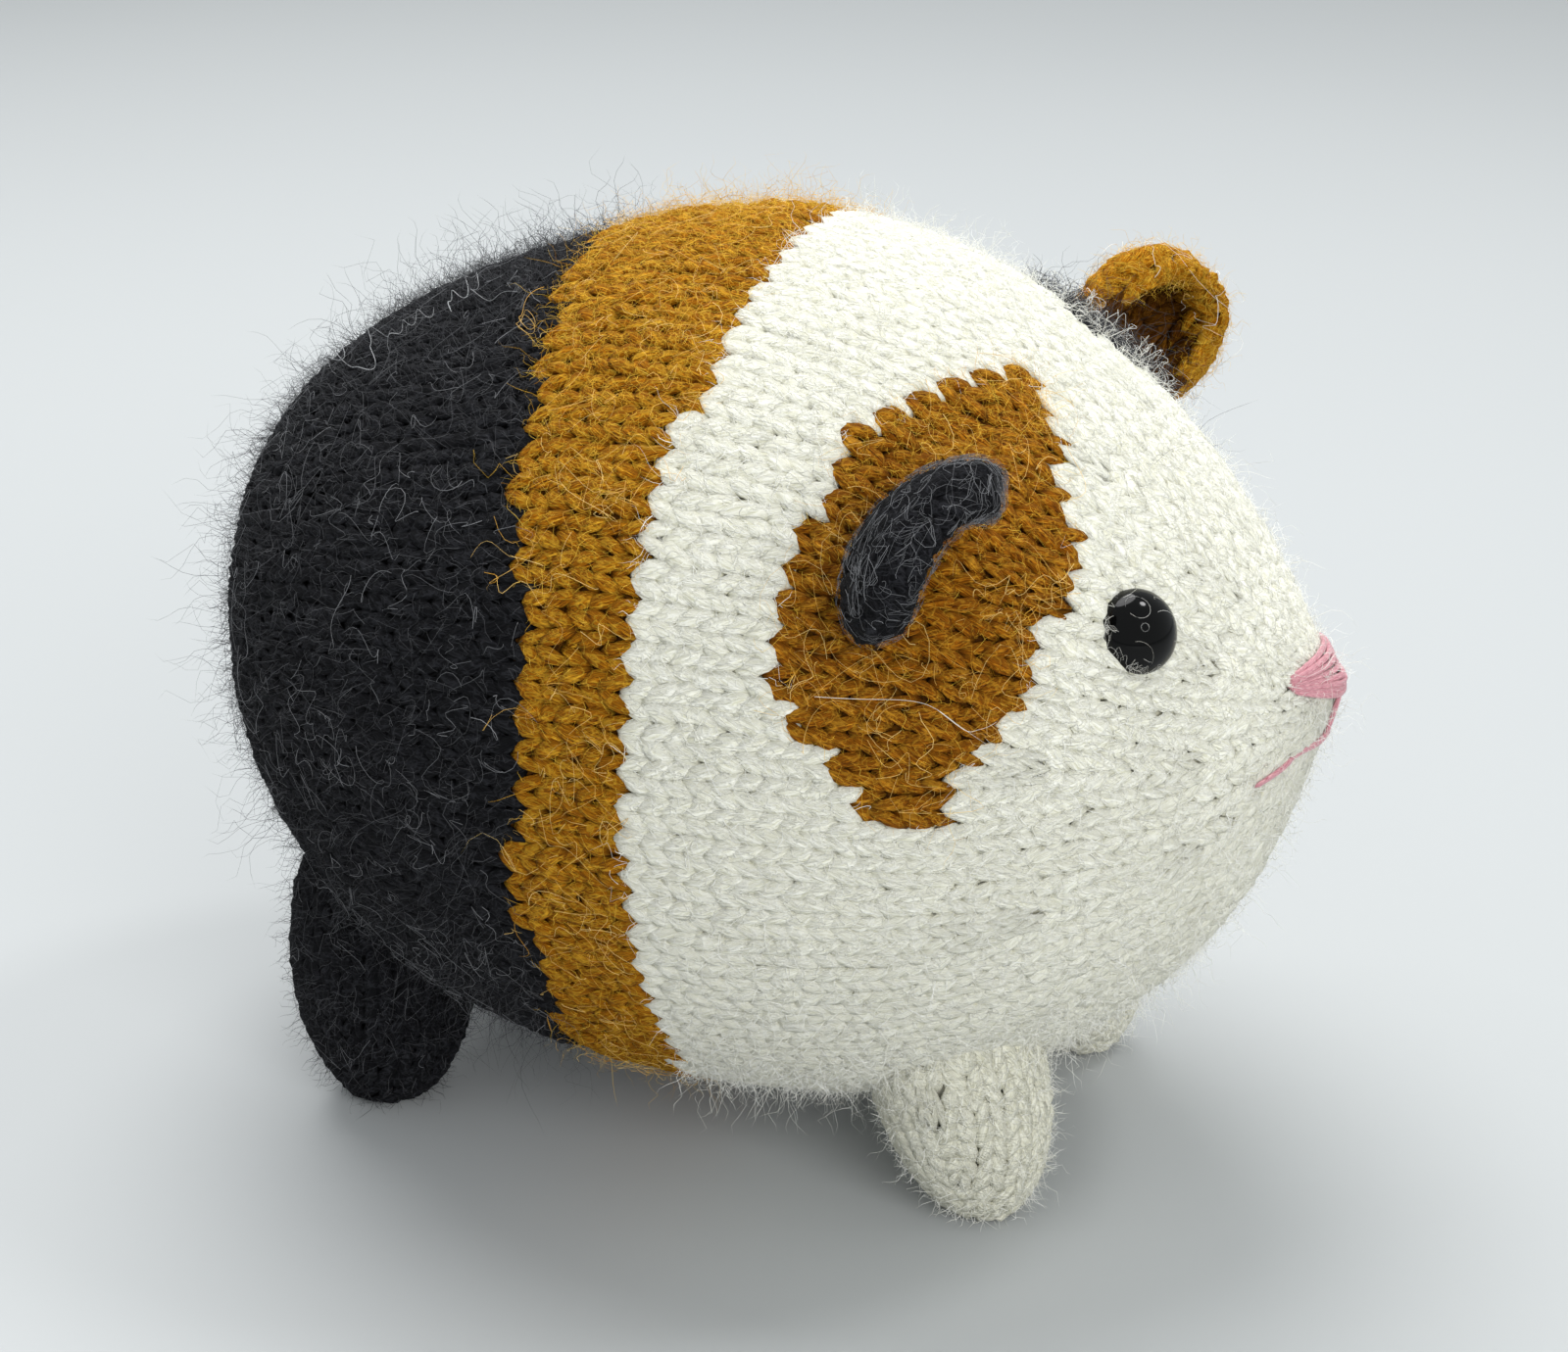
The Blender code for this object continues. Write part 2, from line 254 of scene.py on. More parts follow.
class Fabric:
    """Stitches laid out over a surface: rows at even distances, wales as the girth has room for them."""

    def __init__(self, surface, wale_width, row_height, sectors, most, turn=0.0):
        self.surface = surface
        self.turn = turn
        self.wale_width = wale_width
        self.sectors = sectors
        self.most = most
        self.rows = round(surface.distance[-1] / row_height)
        self.row_height = surface.distance[-1] / self.rows
        self.length = self.rows * self.row_height
        cells = []
        for row in range(self.rows):
            room = float(self.room((row + 0.5) * self.row_height))
            whole = int(room)
            if room - whole > LEAST_WALE:
                edges = [*range(whole + 1), room]
            elif whole > 0:
                edges = [*range(whole), room]
            elif room > LEAST_END:
                edges = [0, room]
            else:
                continue
            for sector in range(sectors):
                for low, high in zip(edges[:-1], edges[1:]):
                    cells.append((row, sector, low, high))
        table = np.array(cells, dtype=float)
        self.row, self.sector, self.low, self.high = table.T
        self.phase = rng.uniform(0, TURN, (2, len(MEANDERS)))

    def room(self, distance):
        """Wales that fit into one sector at a distance along the surface."""
        return np.minimum(self.most, self.surface.girth_at(distance) / (self.sectors * self.wale_width))

    def locate(self, index, a, b):
        """Return the distance and the share round for places in stitches: a across and b along, each 0 to 1."""
        distance = (self.row[index] + b) * self.row_height
        place = self.low[index] + a * (self.high[index] - self.low[index])
        part = np.clip(place / self.room(distance), 0.0, 1.0)
        sector = self.sector[index]
        part = np.where(sector % 2 == 0, part, 1.0 - part)
        share = (sector + part) / self.sectors + self.turn
        sway = np.zeros(np.broadcast(distance, share).shape)
        push = np.zeros_like(sway)
        for (cycle, lobes, size), turn, other in zip(MEANDERS, *self.phase):
            sway = sway + size * np.sin(TURN * (distance / cycle + lobes * share) + turn)
            push = push + size * np.sin(TURN * (distance / cycle * 0.7 - (lobes + 3) * share) + other)
        reach = np.minimum(1.0, self.surface.girth_at(distance) / 120)
        share = share + sway * reach / np.maximum(self.surface.girth_at(distance), 20.0)
        distance = np.clip(distance + push * reach, 0.0, self.surface.distance[-1])
        return distance, share

    def place(self, index, a, b):
        distance, share = self.locate(index, a, b)
        return self.surface.sample(distance, share)

    def middles(self):
        """Return the middle of every stitch."""
        return self.place(np.arange(len(self.row)), 0.5, 0.5)[0]

    def width(self, index):
        """Width of stitches in millimetres."""
        distance = (self.row[index] + 0.5) * self.row_height
        share = (self.high[index] - self.low[index]) / self.room(distance) / self.sectors
        return share * self.surface.girth_at(distance)


def chart_edge(stations, angle):
    angles, places = np.array(stations, dtype=float).T
    return np.interp(angle, angles, places)


def body_colours(fabric):
    """Read the colour chart for every stitch of the body."""
    _, share = fabric.locate(np.arange(len(fabric.row)), 0.5, 0.5)
    angle = (share * 360 + 180) % 360 - 180
    return chart_colour(fabric.middles()[:, 0], angle)


def chart_colour(x, angle):
    colour = np.full(x.shape, WHITE)
    colour[x < chart_edge(BAND_EDGE, angle)] = MUSTARD
    colour[x < chart_edge(RUMP_EDGE, angle)] = CHARCOAL
    for turned, yarn in ((angle, MUSTARD), (180 - angle, CHARCOAL)):
        inside = (turned > PATCH_LOW) & (turned < PATCH_HIGH)
        inside &= x > chart_edge(PATCH_REAR, turned)
        inside &= x < chart_edge(PATCH_FRONT, turned)
        colour[inside] = yarn
    return colour


class Skein:
    """Collects tubes and turns them into one mesh with its two texture maps."""

    def __init__(self):
        self.points, self.faces, self.bake, self.yarn = [], [], [], []
        self.count = 0

    def add(self, rings, start, end, bake, yarn):
        """Add closed tubes: rings is (tubes, rings, sides, 3), start and end are the tips (tubes, 3).

        The bake and yarn maps hold one pair for each vertex: (tubes, rings + 2, sides, 2).
        """
        tubes, count, sides, _ = rings.shape
        start = start.reshape(tubes, 1, 3)
        end = end.reshape(tubes, 1, 3)
        points = np.concatenate([start, rings.reshape(tubes, -1, 3), end], axis=1)
        total = count * sides + 2
        side = np.arange(sides)
        after = (side + 1) % sides
        low = 1 + np.arange(count - 1)[:, None] * sides
        quads = np.stack([low + side, low + after, low + sides + after, low + sides + side], axis=-1)
        last = 1 + (count - 1) * sides
        tips = np.concatenate([np.stack([0 * side, 1 + after, 1 + side], axis=1),
                               np.stack([last + side, last + after, 0 * side + total - 1], axis=1)])
        offset = self.count + total * np.arange(tubes)[:, None, None]
        quads = (quads.reshape(-1, 4) + offset).reshape(-1, 4)
        tips = (tips + offset).reshape(-1, 3)
        self.points.append(points.reshape(-1, 3))
        self.faces.append((quads, tips))
        for store, values in ((self.bake, bake), (self.yarn, yarn)):
            head = values[:, 0].mean(axis=1, keepdims=True)
            tail = values[:, -1].mean(axis=1, keepdims=True)
            body = values[:, 1:-1].reshape(tubes, -1, 2)
            store.append(np.concatenate([head, body, tail], axis=1).reshape(-1, 2))
        self.count += tubes * total

    def finish(self, name, material, slot, replaces=()):
        """Turn the tubes into a piece of the toy."""
        quads, tips = (np.concatenate(faces) for faces in zip(*self.faces))
        mesh = make_mesh(name, np.concatenate(self.points), quads, tips,
                         np.concatenate(self.bake), np.concatenate(self.yarn))
        add_piece(name, mesh, [material], replaces)


def pairs(first, second):
    """Join two arrays into one of pairs."""
    return np.stack(np.broadcast_arrays(first, second), axis=-1)


def ring_points(line, across, out, a, b):
    """Return the points of rings round a line, a sideways and b outwards for each side."""
    return line[..., None, :] + across[..., None, :] * a[..., None] + out[..., None, :] * b[..., None]


def closed_grid(rings, sides):
    """Return quads and triangles of a form of rings of points, with its two tips as the last points."""
    ring, line = np.meshgrid(np.arange(rings - 1), np.arange(sides), indexing="ij")
    after = (line + 1) % sides
    low, high = ring * sides, (ring + 1) * sides
    quads = np.stack([high + line, high + after, low + after, low + line], axis=-1).reshape(-1, 4)
    side, last, tip = np.arange(sides), (rings - 1) * sides, np.full(sides, rings * sides)
    tips = np.concatenate([np.stack([side, after[0], tip], axis=1),
                           np.stack([tip + 1, last + after[0], last + side], axis=1)])
    return quads, tips


def make_mesh(name, points, quads, triangles, bake=None, yarn=None):
    """Make a mesh from quads and triangles, with maps given for each vertex."""
    mesh = bpy.data.meshes.new(name)
    corners = np.concatenate([quads.ravel(), triangles.ravel()]).astype(np.int32)
    sizes = np.concatenate([np.full(len(quads), 4), np.full(len(triangles), 3)]).astype(np.int32)
    starts = (np.cumsum(sizes) - sizes).astype(np.int32)
    mesh.vertices.add(len(points))
    mesh.vertices.foreach_set("co", (points * MM).astype(np.float32).ravel())
    mesh.loops.add(len(corners))
    mesh.loops.foreach_set("vertex_index", corners)
    mesh.polygons.add(len(sizes))
    mesh.polygons.foreach_set("loop_start", starts)
    mesh.polygons.foreach_set("loop_total", sizes)
    for map_name, values in (("OFBake", bake), ("Yarn", yarn)):
        if values is not None:
            layer = mesh.uv_layers.new(name=map_name)
            layer.data.foreach_set("uv", values[corners].astype(np.float32).ravel())
    mesh.update(calc_edges=True)
    mesh.validate()
    mesh.shade_smooth()
    return mesh


# ---- Yarn strands of a stitch, hairs and fibres ----
STRAND_STOPS = np.array([0.0, 0.09, 0.27, 0.5, 0.73, 0.91, 1.0])
STRAND_SIDES = np.radians([0, 60, 122, 238, 300])
STRAND_START = (0.04, -0.48)  # a from the wale's middle and b of a strand's lower end
STRAND_END = (0.45, 1.42)
STRAND_HALF_WIDTH = 0.245  # share of the wale's width
STRAND_HALF_DEPTH = 0.72  # share of the half width
WIDEST = 1.3  # greatest width of a stitch, in wales
STRAND_ARCH = 0.62
STRAND_LENGTH = 5.3
TAG = 8.0  # strands start at whole multiples of this in the yarn map
# How far stitches differ: whole stitches sideways, outward and in fullness, then each strand across and along
# the wale and in its outline.
SHIFT, LIFT, PLUMP = 0.03, 0.13, 0.09
ACROSS, ALONG, OUTLINE = 0.012, 0.045, 0.11
TAG_TURN = 0.37  # how far strands also differ round the yarn for each millimetre of their start


def add_stitches(skein, fabric, index, relief, fullness):
    """Add the two strands of each stitch to a skein."""
    stops = STRAND_STOPS[None, :]
    count = len(index)
    width = np.minimum(fabric.width(index), WIDEST * fabric.wale_width)
    shift = rng.normal(0, SHIFT, (count, 1))
    lift = rng.normal(0, LIFT, (count, 1)) * relief
    plump = rng.normal(fullness, PLUMP, (count, 1))
    for sign in (-1, 1):
        swing = 0.5 - 0.5 * np.cos(np.pi * stops)
        blend = 0.5 * stops + 0.5 * swing
        a = STRAND_START[0] + (STRAND_END[0] - STRAND_START[0]) * blend
        a = 0.5 + sign * (a + rng.normal(0, ACROSS, (count, 1))) + shift
        b = STRAND_START[1] + (STRAND_END[1] - STRAND_START[1]) * stops
        b = b + rng.normal(0, ALONG, (count, 1))
        place, normal = fabric.place(index[:, None], a, b)
        half = (width * STRAND_HALF_WIDTH)[:, None] * plump * np.sin(np.pi * (0.06 + 0.88 * stops)) ** 0.7
        arch = relief * STRAND_ARCH * np.sin(np.pi * stops) ** 0.8
        depth = half.max(axis=1, keepdims=True) * STRAND_HALF_DEPTH + relief * STRAND_ARCH - arch
        centre = place + normal * (lift - depth)[..., None]
        forward = unit(np.gradient(centre, axis=1))
        across = unit(np.cross(forward, normal))
        out = np.cross(across, forward)
        wobble = 1 + rng.normal(0, OUTLINE, (count, len(STRAND_STOPS) - 2, len(STRAND_SIDES)))
        spread = half[:, 1:-1, None] * np.sin(STRAND_SIDES) * wobble
        rise = half[:, 1:-1, None] * STRAND_HALF_DEPTH * np.cos(STRAND_SIDES) * wobble
        rings = ring_points(centre[:, 1:-1], across[:, 1:-1], out[:, 1:-1], spread, rise)
        rings[..., 2] = np.maximum(rings[..., 2], FLOOR_GAP / 2)
        # Bake map: each strand has its own half of the stitch's cell.
        sideways = 0.5 + 0.5 * np.sin(STRAND_SIDES)
        half_cell = (0.25 + 0.25 * sign) + 0.48 * sideways + 0.01
        cell_b = 0.02 + 0.96 * stops
        distance, share = fabric.locate(index[:, None, None], half_cell[None, None, :], cell_b[..., None])
        bake = pairs(share, distance / fabric.length)
        length = STRAND_LENGTH * stops[..., None]
        round_place = np.arange(len(STRAND_SIDES)) * 0.9
        tag = TAG * rng.integers(1, 60, (count, 1, 1))
        yarn = pairs(length + tag, round_place + tag * TAG_TURN)
        skein.add(rings, centre[:, 0], centre[:, -1], bake, yarn)


ROOT_DEPTH = 0.35  # of fibres in the yarn
DROOP = 0.012  # of fibres, for each square millimetre of their length


def add_fibres(skein, fabric, index, length, lift, curl, radius, steps, few_long=1.0, lean=None):
    """Add curly fibres that stand out of the stitches named by index.

    length, lift and curl are ranges: the fibre's length, its angle above the fabric in degrees and the
    number of waves in it.  A higher few_long makes long fibres rarer; with a lean the fibres run along the rows.
    """
    count = len(index)
    a = rng.uniform(0.02, 0.98, count)
    b = rng.uniform(0.0, 1.0, count)
    root, normal = fabric.place(index, a, b)
    distance, share = fabric.locate(index, a, b)
    ahead, _ = fabric.place(index, a, b + 0.3)
    forward = unit(ahead - root)
    side = np.cross(normal, forward)
    heading = rng.uniform(0, TURN, count)
    if lean is not None:
        heading = rng.normal(0, lean, count) + np.pi * rng.integers(0, 2, count)
    angle = np.radians(rng.uniform(*lift, count))
    flat = forward * np.cos(heading)[:, None] + side * np.sin(heading)[:, None]
    line = flat * np.cos(angle)[:, None] + normal * np.sin(angle)[:, None]
    size = length[0] + (length[1] - length[0]) * rng.uniform(0, 1, count) ** few_long
    waves = rng.uniform(*curl, count)
    phase = rng.uniform(0, TURN, (2, count))
    swing_a = unit(np.cross(line, normal + 0.01))
    swing_b = np.cross(line, swing_a)
    t = np.linspace(0, 1, steps + 1)[None, :]
    amplitude = (size * rng.uniform(0.06, 0.24, count))[:, None] * t ** 0.7
    wave_a = np.sin(TURN * waves[:, None] * t + phase[0][:, None]) - np.sin(phase[0])[:, None]
    wave_b = np.sin(TURN * waves[:, None] * 0.8 * t + phase[1][:, None]) - np.sin(phase[1])[:, None]
    path = root[:, None, :] - normal[:, None, :] * ROOT_DEPTH + line[:, None, :] * (size[:, None] * t)[..., None]
    path += swing_a[:, None, :] * (amplitude * wave_a)[..., None]
    path += swing_b[:, None, :] * (amplitude * wave_b)[..., None]
    path[..., 2] -= (size[:, None] * t) ** 2 * DROOP
    add_hairs(skein, path, radius, share, distance / fabric.length)


def add_curls(skein, fabric, index, span, radius, height, steps=16, winding=(0.08, 0.26)):
    """Add long loose hairs that wind over the wool; span is the range of how far they reach."""
    count = len(index)
    distance, share = fabric.locate(index, rng.uniform(0, 1, count), rng.uniform(0, 1, count))
    girth = fabric.surface.girth_at(distance)
    heading = rng.uniform(0, TURN, count)[:, None]
    reach = rng.uniform(*span, count)[:, None]
    t = np.linspace(0, 1, steps)[None, :]
    phase = rng.uniform(0, TURN, (4, count))[..., None]
    waves = rng.uniform(0.6, 2.4, (2, count))[..., None]
    loop = reach * rng.uniform(*winding, count)[:, None]
    height = height * rng.uniform(0.25, 1.1, count)[:, None]
    along = reach * (t - 0.5) * np.cos(heading) + loop * np.sin(TURN * waves[0] * t + phase[0])
    across = reach * (t - 0.5) * np.sin(heading) + loop * np.sin(TURN * waves[1] * t + phase[1])
    along = np.clip(distance[:, None] + along, 0.0, fabric.surface.distance[-1])
    place, normal = fabric.surface.sample(along, share[:, None] + across / np.maximum(girth, 15.0)[:, None])
    rise = height * (0.5 + 0.5 * np.sin(TURN * waves[1] * 0.7 * t + phase[2])) + 0.1
    path = place + normal * rise[..., None]
    add_hairs(skein, path, radius, share, distance / fabric.length)


# Single hairs on an eye: sideways and upward place and size of an arc, its first angle and its sweep.
EYE_LOOPS = [(-1.2, 2.8, 1.4, 200, 330), (-1.5, 0.3, 0.5, -20, 380),
             (1.5, -1.6, 3.3, 100, -75), (-3.4, -3.6, 2.6, 80, -95)]
EYE_HAIR_RADIUS = 0.014
EYE_HAIR_GAP = 0.06  # between the dome and a hair's middle


def add_eye_hairs(skein, fabric, eye, sink, number, side):
    """Add curly hairs that creep from the wool over an eye's lower and rear edge; side is -1 right, 1 left."""
    along, around = eye
    centre, directions = eye_frame(along, around, sink)
    t = np.linspace(0, 1, 16)[None, :]
    turn = np.radians(rng.uniform(150, 275, number))[:, None]
    start = rng.uniform(EYE_RADIUS + 0.2, EYE_RADIUS + 1.2, number)[:, None]
    end = EYE_RADIUS * rng.uniform(0.87, 1.04, number)[:, None]
    phase = rng.uniform(0, TURN, (3, number))[..., None]
    waves = rng.uniform(0.8, 2.2, (2, number))[..., None]
    away = start + (end - start) * np.sin(np.pi * 0.75 * t) + 0.32 * np.sin(TURN * waves[0] * t + phase[0])
    turn = turn + 0.45 * (t - 0.5) * np.sin(phase[2]) + 0.10 * np.sin(TURN * waves[1] * t + phase[1])
    a, b = away * np.cos(turn), away * np.sin(turn)
    for loop_a, loop_b, size, start, sweep in EYE_LOOPS:
        bend = np.radians(start + sweep * t)
        a = np.concatenate([a, loop_a + size * np.cos(bend)])
        b = np.concatenate([b, loop_b + size * np.sin(bend)])
    dome = EYE_DOME * np.sqrt(np.clip(1 - (a ** 2 + b ** 2) / EYE_RADIUS ** 2, 0, 1))
    height = np.maximum(dome, sink - 0.4) + EYE_HAIR_GAP
    path = in_frame(centre, directions, a * -side, b, height)
    distance = np.interp(along, fabric.surface.along, fabric.surface.distance)
    add_hairs(skein, path, EYE_HAIR_RADIUS, np.full(len(path), around), np.full(len(path), distance / fabric.length))


def add_hairs(skein, path, radius, bake_u, bake_v):
    """Add thin three-sided tubes along the given paths (hairs, points, 3)."""
    count, steps, _ = path.shape
    path[..., 2] = np.maximum(path[..., 2], FLOOR_GAP / 2)
    forward = unit(np.gradient(path, axis=1))
    helper = unit(rng.normal(0, 1, (count, 1, 3)))
    across = unit(np.cross(forward, helper))
    out = np.cross(forward, across)
    t = np.linspace(0, 1, steps)[None, :, None]
    thick = radius * rng.uniform(0.75, 1.25, (count, 1, 1)) * (1 - 0.55 * t)
    turn = TURN * np.arange(3) / 3
    rings = ring_points(path[:, :-1], across[:, :-1], out[:, :-1],
                        thick[:, :-1] * np.cos(turn), thick[:, :-1] * np.sin(turn))
    back = path[:, 0] - forward[:, 0] * radius
    stops = np.linspace(0, 1, steps + 1)
    bake = pairs(bake_u[:, None, None] + 0.0015 * np.cos(turn), bake_v[:, None, None] + 0.003 * stops[:, None])
    tag = rng.uniform(0, 400, (count, 1, 1))
    yarn = pairs(tag + 0 * turn, tag * TAG_TURN + stops[:, None] * 0.5)
    skein.add(rings, back, path[:, -1], bake, yarn)


# ---- Shader building ----
def set_input(tree, place, value):
    """Link a socket to a node's input, or set the input's value; colours are given without alpha."""
    if isinstance(value, Socket):
        tree.links.new(value.socket, place)
    else:
        place.default_value = (*value, 1.0) if place.type == "RGBA" else value


class Socket:
    """A shader socket that Python's arithmetic works on."""

    def __init__(self, tree, socket):
        self.tree = tree
        self.socket = socket

    def math(self, operation, other=None, swapped=False):
        node = self.tree.nodes.new("ShaderNodeMath")
        node.operation = operation
        values = [self] if other is None else [self, other]
        if swapped:
            values.reverse()
        for place, value in zip(node.inputs, values):
            set_input(self.tree, place, value)
        return Socket(self.tree, node.outputs[0])

    __add__ = __radd__ = partialmethod(math, "ADD")
    __sub__ = partialmethod(math, "SUBTRACT")
    __rsub__ = partialmethod(math, "SUBTRACT", swapped=True)
    __mul__ = partialmethod(math, "MULTIPLY")


class Finish:
    """A material with a Principled shader; constants are set on the shader's own sockets."""

    def __init__(self, name, **constants):
        self.material = bpy.data.materials.new(name)
        self.material.use_nodes = True
        self.tree = self.material.node_tree
        self.shader = self.tree.nodes["Principled BSDF"]
        for socket, value in constants.items():
            set_input(self.tree, self.shader.inputs[socket.replace("_", " ")], value)

    @cached_property
    def yarn(self):
        """Place along and round the yarn."""
        return self.node("ShaderNodeUVMap", {"uv_map": "Yarn"})

    @cached_property
    def spot(self):
        """Place in the piece's own space."""
        return self.node("ShaderNodeTexCoord", output=3)

    def node(self, kind, settings=None, inputs=None, output=0):
        """Add a node: its settings first, then the values or links of its sockets."""
        node = self.tree.nodes.new(kind)
        for key, value in (settings or {}).items():
            setattr(node, key, value)
        for key, value in (inputs or {}).items():
            set_input(self.tree, node.inputs[key], value)
        return Socket(self.tree, node.outputs[output])

    def feed(self, socket, value):
        self.tree.links.new(value.socket, self.shader.inputs[socket])

    def noise(self, place, scale, detail, **more):
        return self.node("ShaderNodeTexNoise", None, {"Vector": place, "Scale": scale, "Detail": detail, **more})

    def turned(self, place, rotation, scale, location=(0, 0, 0)):
        return self.node("ShaderNodeMapping", None,
                         {"Vector": place, "Location": location, "Rotation": rotation, "Scale": scale})

    def stretch(self, value, low, high):
        """Turn the range low..high into 0..1."""
        return self.node("ShaderNodeMapRange", {"clamp": True}, {"Value": value, "From Min": low, "From Max": high})

    def blend(self, factor, low, high):
        """Mix two colours by a factor."""
        return self.node("ShaderNodeMix", {"data_type": "RGBA"}, {"Factor": factor, 6: low, 7: high}, output=2)

    def hairline(self, turn, size, wide):
        """Thin winding lines, like single hairs that lie on the wool."""
        place = self.turned(self.spot, (0, turn, turn), (0.4, 1.0, 1.0), (turn, size * 0.01, turn * 3))
        wave = self.noise(place, size, 2.0, Roughness=0.45, Distortion=0.4)
        return 1.0 - self.stretch((wave - 0.5).math("ABSOLUTE"), 0.0, wide)

    def emboss(self, strength, distance, height):
        self.feed("Normal", self.node("ShaderNodeBump", None,
                                      {"Strength": strength, "Distance": distance, "Height": height}))


# Turn, fineness and width of the three nets of hairs that lie on the yarn.
HAIRLINES = ((0.35, 420.0, 0.022), (-0.4, 560.0, 0.028), (1.3, 700.0, 0.03))


def wool(name, dark, mid, light, bump, sheen, hair, pit_shade=0.5, pit_shade_from=0.78):
    """Fuzzy yarn: streaks along the strand, loose hairs lying over it, tone that changes from place to place and
    painted shade at the strands' ends.
    """
    finish = Finish(name, Roughness=0.95, Specular_IOR_Level=0.15, Sheen_Weight=sheen, Sheen_Roughness=0.7,
                    Sheen_Tint=light)
    streak = finish.noise(finish.turned(finish.yarn, (0, 0, 0.3), (0.6, 4.5, 1.0)), 1.0, 4.0, Roughness=0.7)
    patch = finish.noise(finish.spot, 90.0, 3.0)
    strand = finish.noise(finish.yarn, 0.06, 0.0)
    hairs, *more = (finish.hairline(*line) for line in HAIRLINES)
    for line in more:
        hairs = hairs.math("MAXIMUM", line)
    tone = finish.stretch(patch * 0.5 + strand * 0.5, 0.38, 0.62)
    colour = finish.blend(finish.stretch(streak, 0.36, 0.56), dark, mid)
    colour = finish.blend(finish.stretch(streak, 0.54, 0.72) * (0.45 + tone * 0.55), colour, light)
    parts = finish.node("ShaderNodeSeparateXYZ", None, {"Vector": finish.yarn})
    # Painted shade: the strands' ends, where they dip into the pits between stitches, are blended towards the dark
    # colour.
    ends = (parts.math("MODULO", TAG) * (2 / STRAND_LENGTH) - 1.0).math("ABSOLUTE")
    colour = finish.blend(finish.stretch(ends + streak * 0.4, pit_shade_from, 1.15) * pit_shade, colour, dark)
    finish.feed("Base Color", finish.blend(hairs * hair, colour, light))
    finish.emboss(bump, 0.0004, streak * 0.7 + hairs * 0.35)
    return finish.material


def fibre(name, dark, light):
    """Single fibres: each has its own tone."""
    finish = Finish(name, Roughness=0.9, Specular_IOR_Level=0.1)
    tone = finish.stretch(finish.noise(finish.yarn, 0.9, 1.0), 0.3, 0.7)
    finish.feed("Base Color", finish.blend(tone, dark, light))
    return finish.material


def lining(name, dark, light):
    """Backs of the stitches, seen in the gaps."""
    finish = Finish(name, Roughness=0.95)
    grain = finish.noise(finish.spot, 900.0, 4.0)
    finish.feed("Base Color", finish.blend(finish.stretch(grain, 0.35, 0.65), dark, light))
    finish.emboss(0.5, 0.0004, grain)
    return finish.material


def thread(name, dark, light):
    """Stranded embroidery thread with a soft shine and its twist showing."""
    finish = Finish(name, Roughness=0.5, Sheen_Weight=0.3)
    twist = finish.noise(finish.turned(finish.yarn, (0, 0, 0.6), (1.2, 4.0, 1.0)), 1.0, 3.0, Roughness=0.6)
    finish.feed("Base Color", finish.blend(finish.stretch(twist, 0.38, 0.62), dark, light))
    finish.emboss(0.6, 0.0003, twist)
    return finish.material


def eye_plastic():
    """Polished black plastic with faint handling marks."""
    finish = Finish("eye_black", Base_Color=(0.002, 0.002, 0.002), Specular_IOR_Level=0.17)
    marks = finish.noise(finish.spot, 700.0, 5.0)
    finish.feed("Roughness", finish.stretch(marks, 0.4, 0.8) * 0.06 + 0.05)
    return finish.material


def floor_paint():
    finish = Finish("pale_floor", Roughness=0.7)
    tone = finish.noise(finish.spot, 1.5, 2.0)
    finish.feed("Base Color", finish.blend(tone, (0.42, 0.437, 0.443), (0.475, 0.49, 0.492)))
    return finish.material


YARNS = [
    wool("charcoal_yarn", (0.002, 0.002, 0.003), (0.007, 0.007, 0.008), (0.045, 0.046, 0.053),
         bump=0.9, sheen=0.03, hair=0.45),
    wool("mustard_yarn", (0.045, 0.009, 0.001), (0.425, 0.146, 0.003), (1.000, 0.610, 0.050),
         bump=1.0, sheen=0.04, hair=0.35, pit_shade=0.95, pit_shade_from=0.68),
    wool("white_yarn", (0.66, 0.645, 0.49), (0.90, 0.89, 0.785), (0.97, 0.965, 0.90),
         bump=0.9, sheen=0.12, hair=0.5, pit_shade=0.75),
]
# Painted shade: a darker copy of the mustard yarn for the patch, standing in for the ear's shadow over it.
PATCH_SHADE_YARN = wool("mustard_patch_shaded_yarn", (0.035, 0.007, 0.001), (0.330, 0.104, 0.003), (0.930, 0.480, 0.040),
                  bump=1.0, sheen=0.03, hair=0.35, pit_shade=0.95, pit_shade_from=0.66)
# Painted light: a brighter copy of the mustard yarn for the left ear, standing in for light falling on its rim.
EAR_LIT_YARN = wool("mustard_ear_lit_yarn", (0.110, 0.028, 0.001), (0.520, 0.190, 0.004), (1.000, 0.660, 0.070),
                bump=0.9, sheen=0.04, hair=0.35, pit_shade=0.8)
# Painted shade: a much darker copy of the mustard yarn for the stitches in the left ear's cup, standing in for the
# cup's shadow.
CUP_SHADE_YARN = wool("mustard_cup_painted_shade_yarn", (0.012, 0.003, 0.001), (0.095, 0.030, 0.002), (0.300, 0.130, 0.012),
                bump=1.0, sheen=0.02, hair=0.3, pit_shade=0.95)
# Painted shade: a darker, warmer copy of the white yarn for the front legs, standing in for the shade they sit in.
LEG_SHADE_YARN = wool("white_leg_shaded_yarn", (0.50, 0.485, 0.36), (0.79, 0.775, 0.65), (0.90, 0.89, 0.79),
                bump=0.9, sheen=0.1, hair=0.5, pit_shade=0.75)
FIBRES = [
    fibre("charcoal_fibre", (0.006, 0.006, 0.007), (0.13, 0.132, 0.140)),
    fibre("mustard_fibre", (0.60, 0.27, 0.006), (1.00, 0.70, 0.10)),
    fibre("white_fibre", (0.84, 0.83, 0.74), (0.95, 0.95, 0.92)),
]
CURL_FIBRES = [
    fibre("charcoal_loose_hair", (0.05, 0.051, 0.054), (0.34, 0.345, 0.36)),
    fibre("mustard_loose_hair", (0.70, 0.34, 0.03), (0.98, 0.74, 0.30)),
    fibre("white_loose_hair", (0.80, 0.78, 0.68), (0.95, 0.95, 0.92)),
]
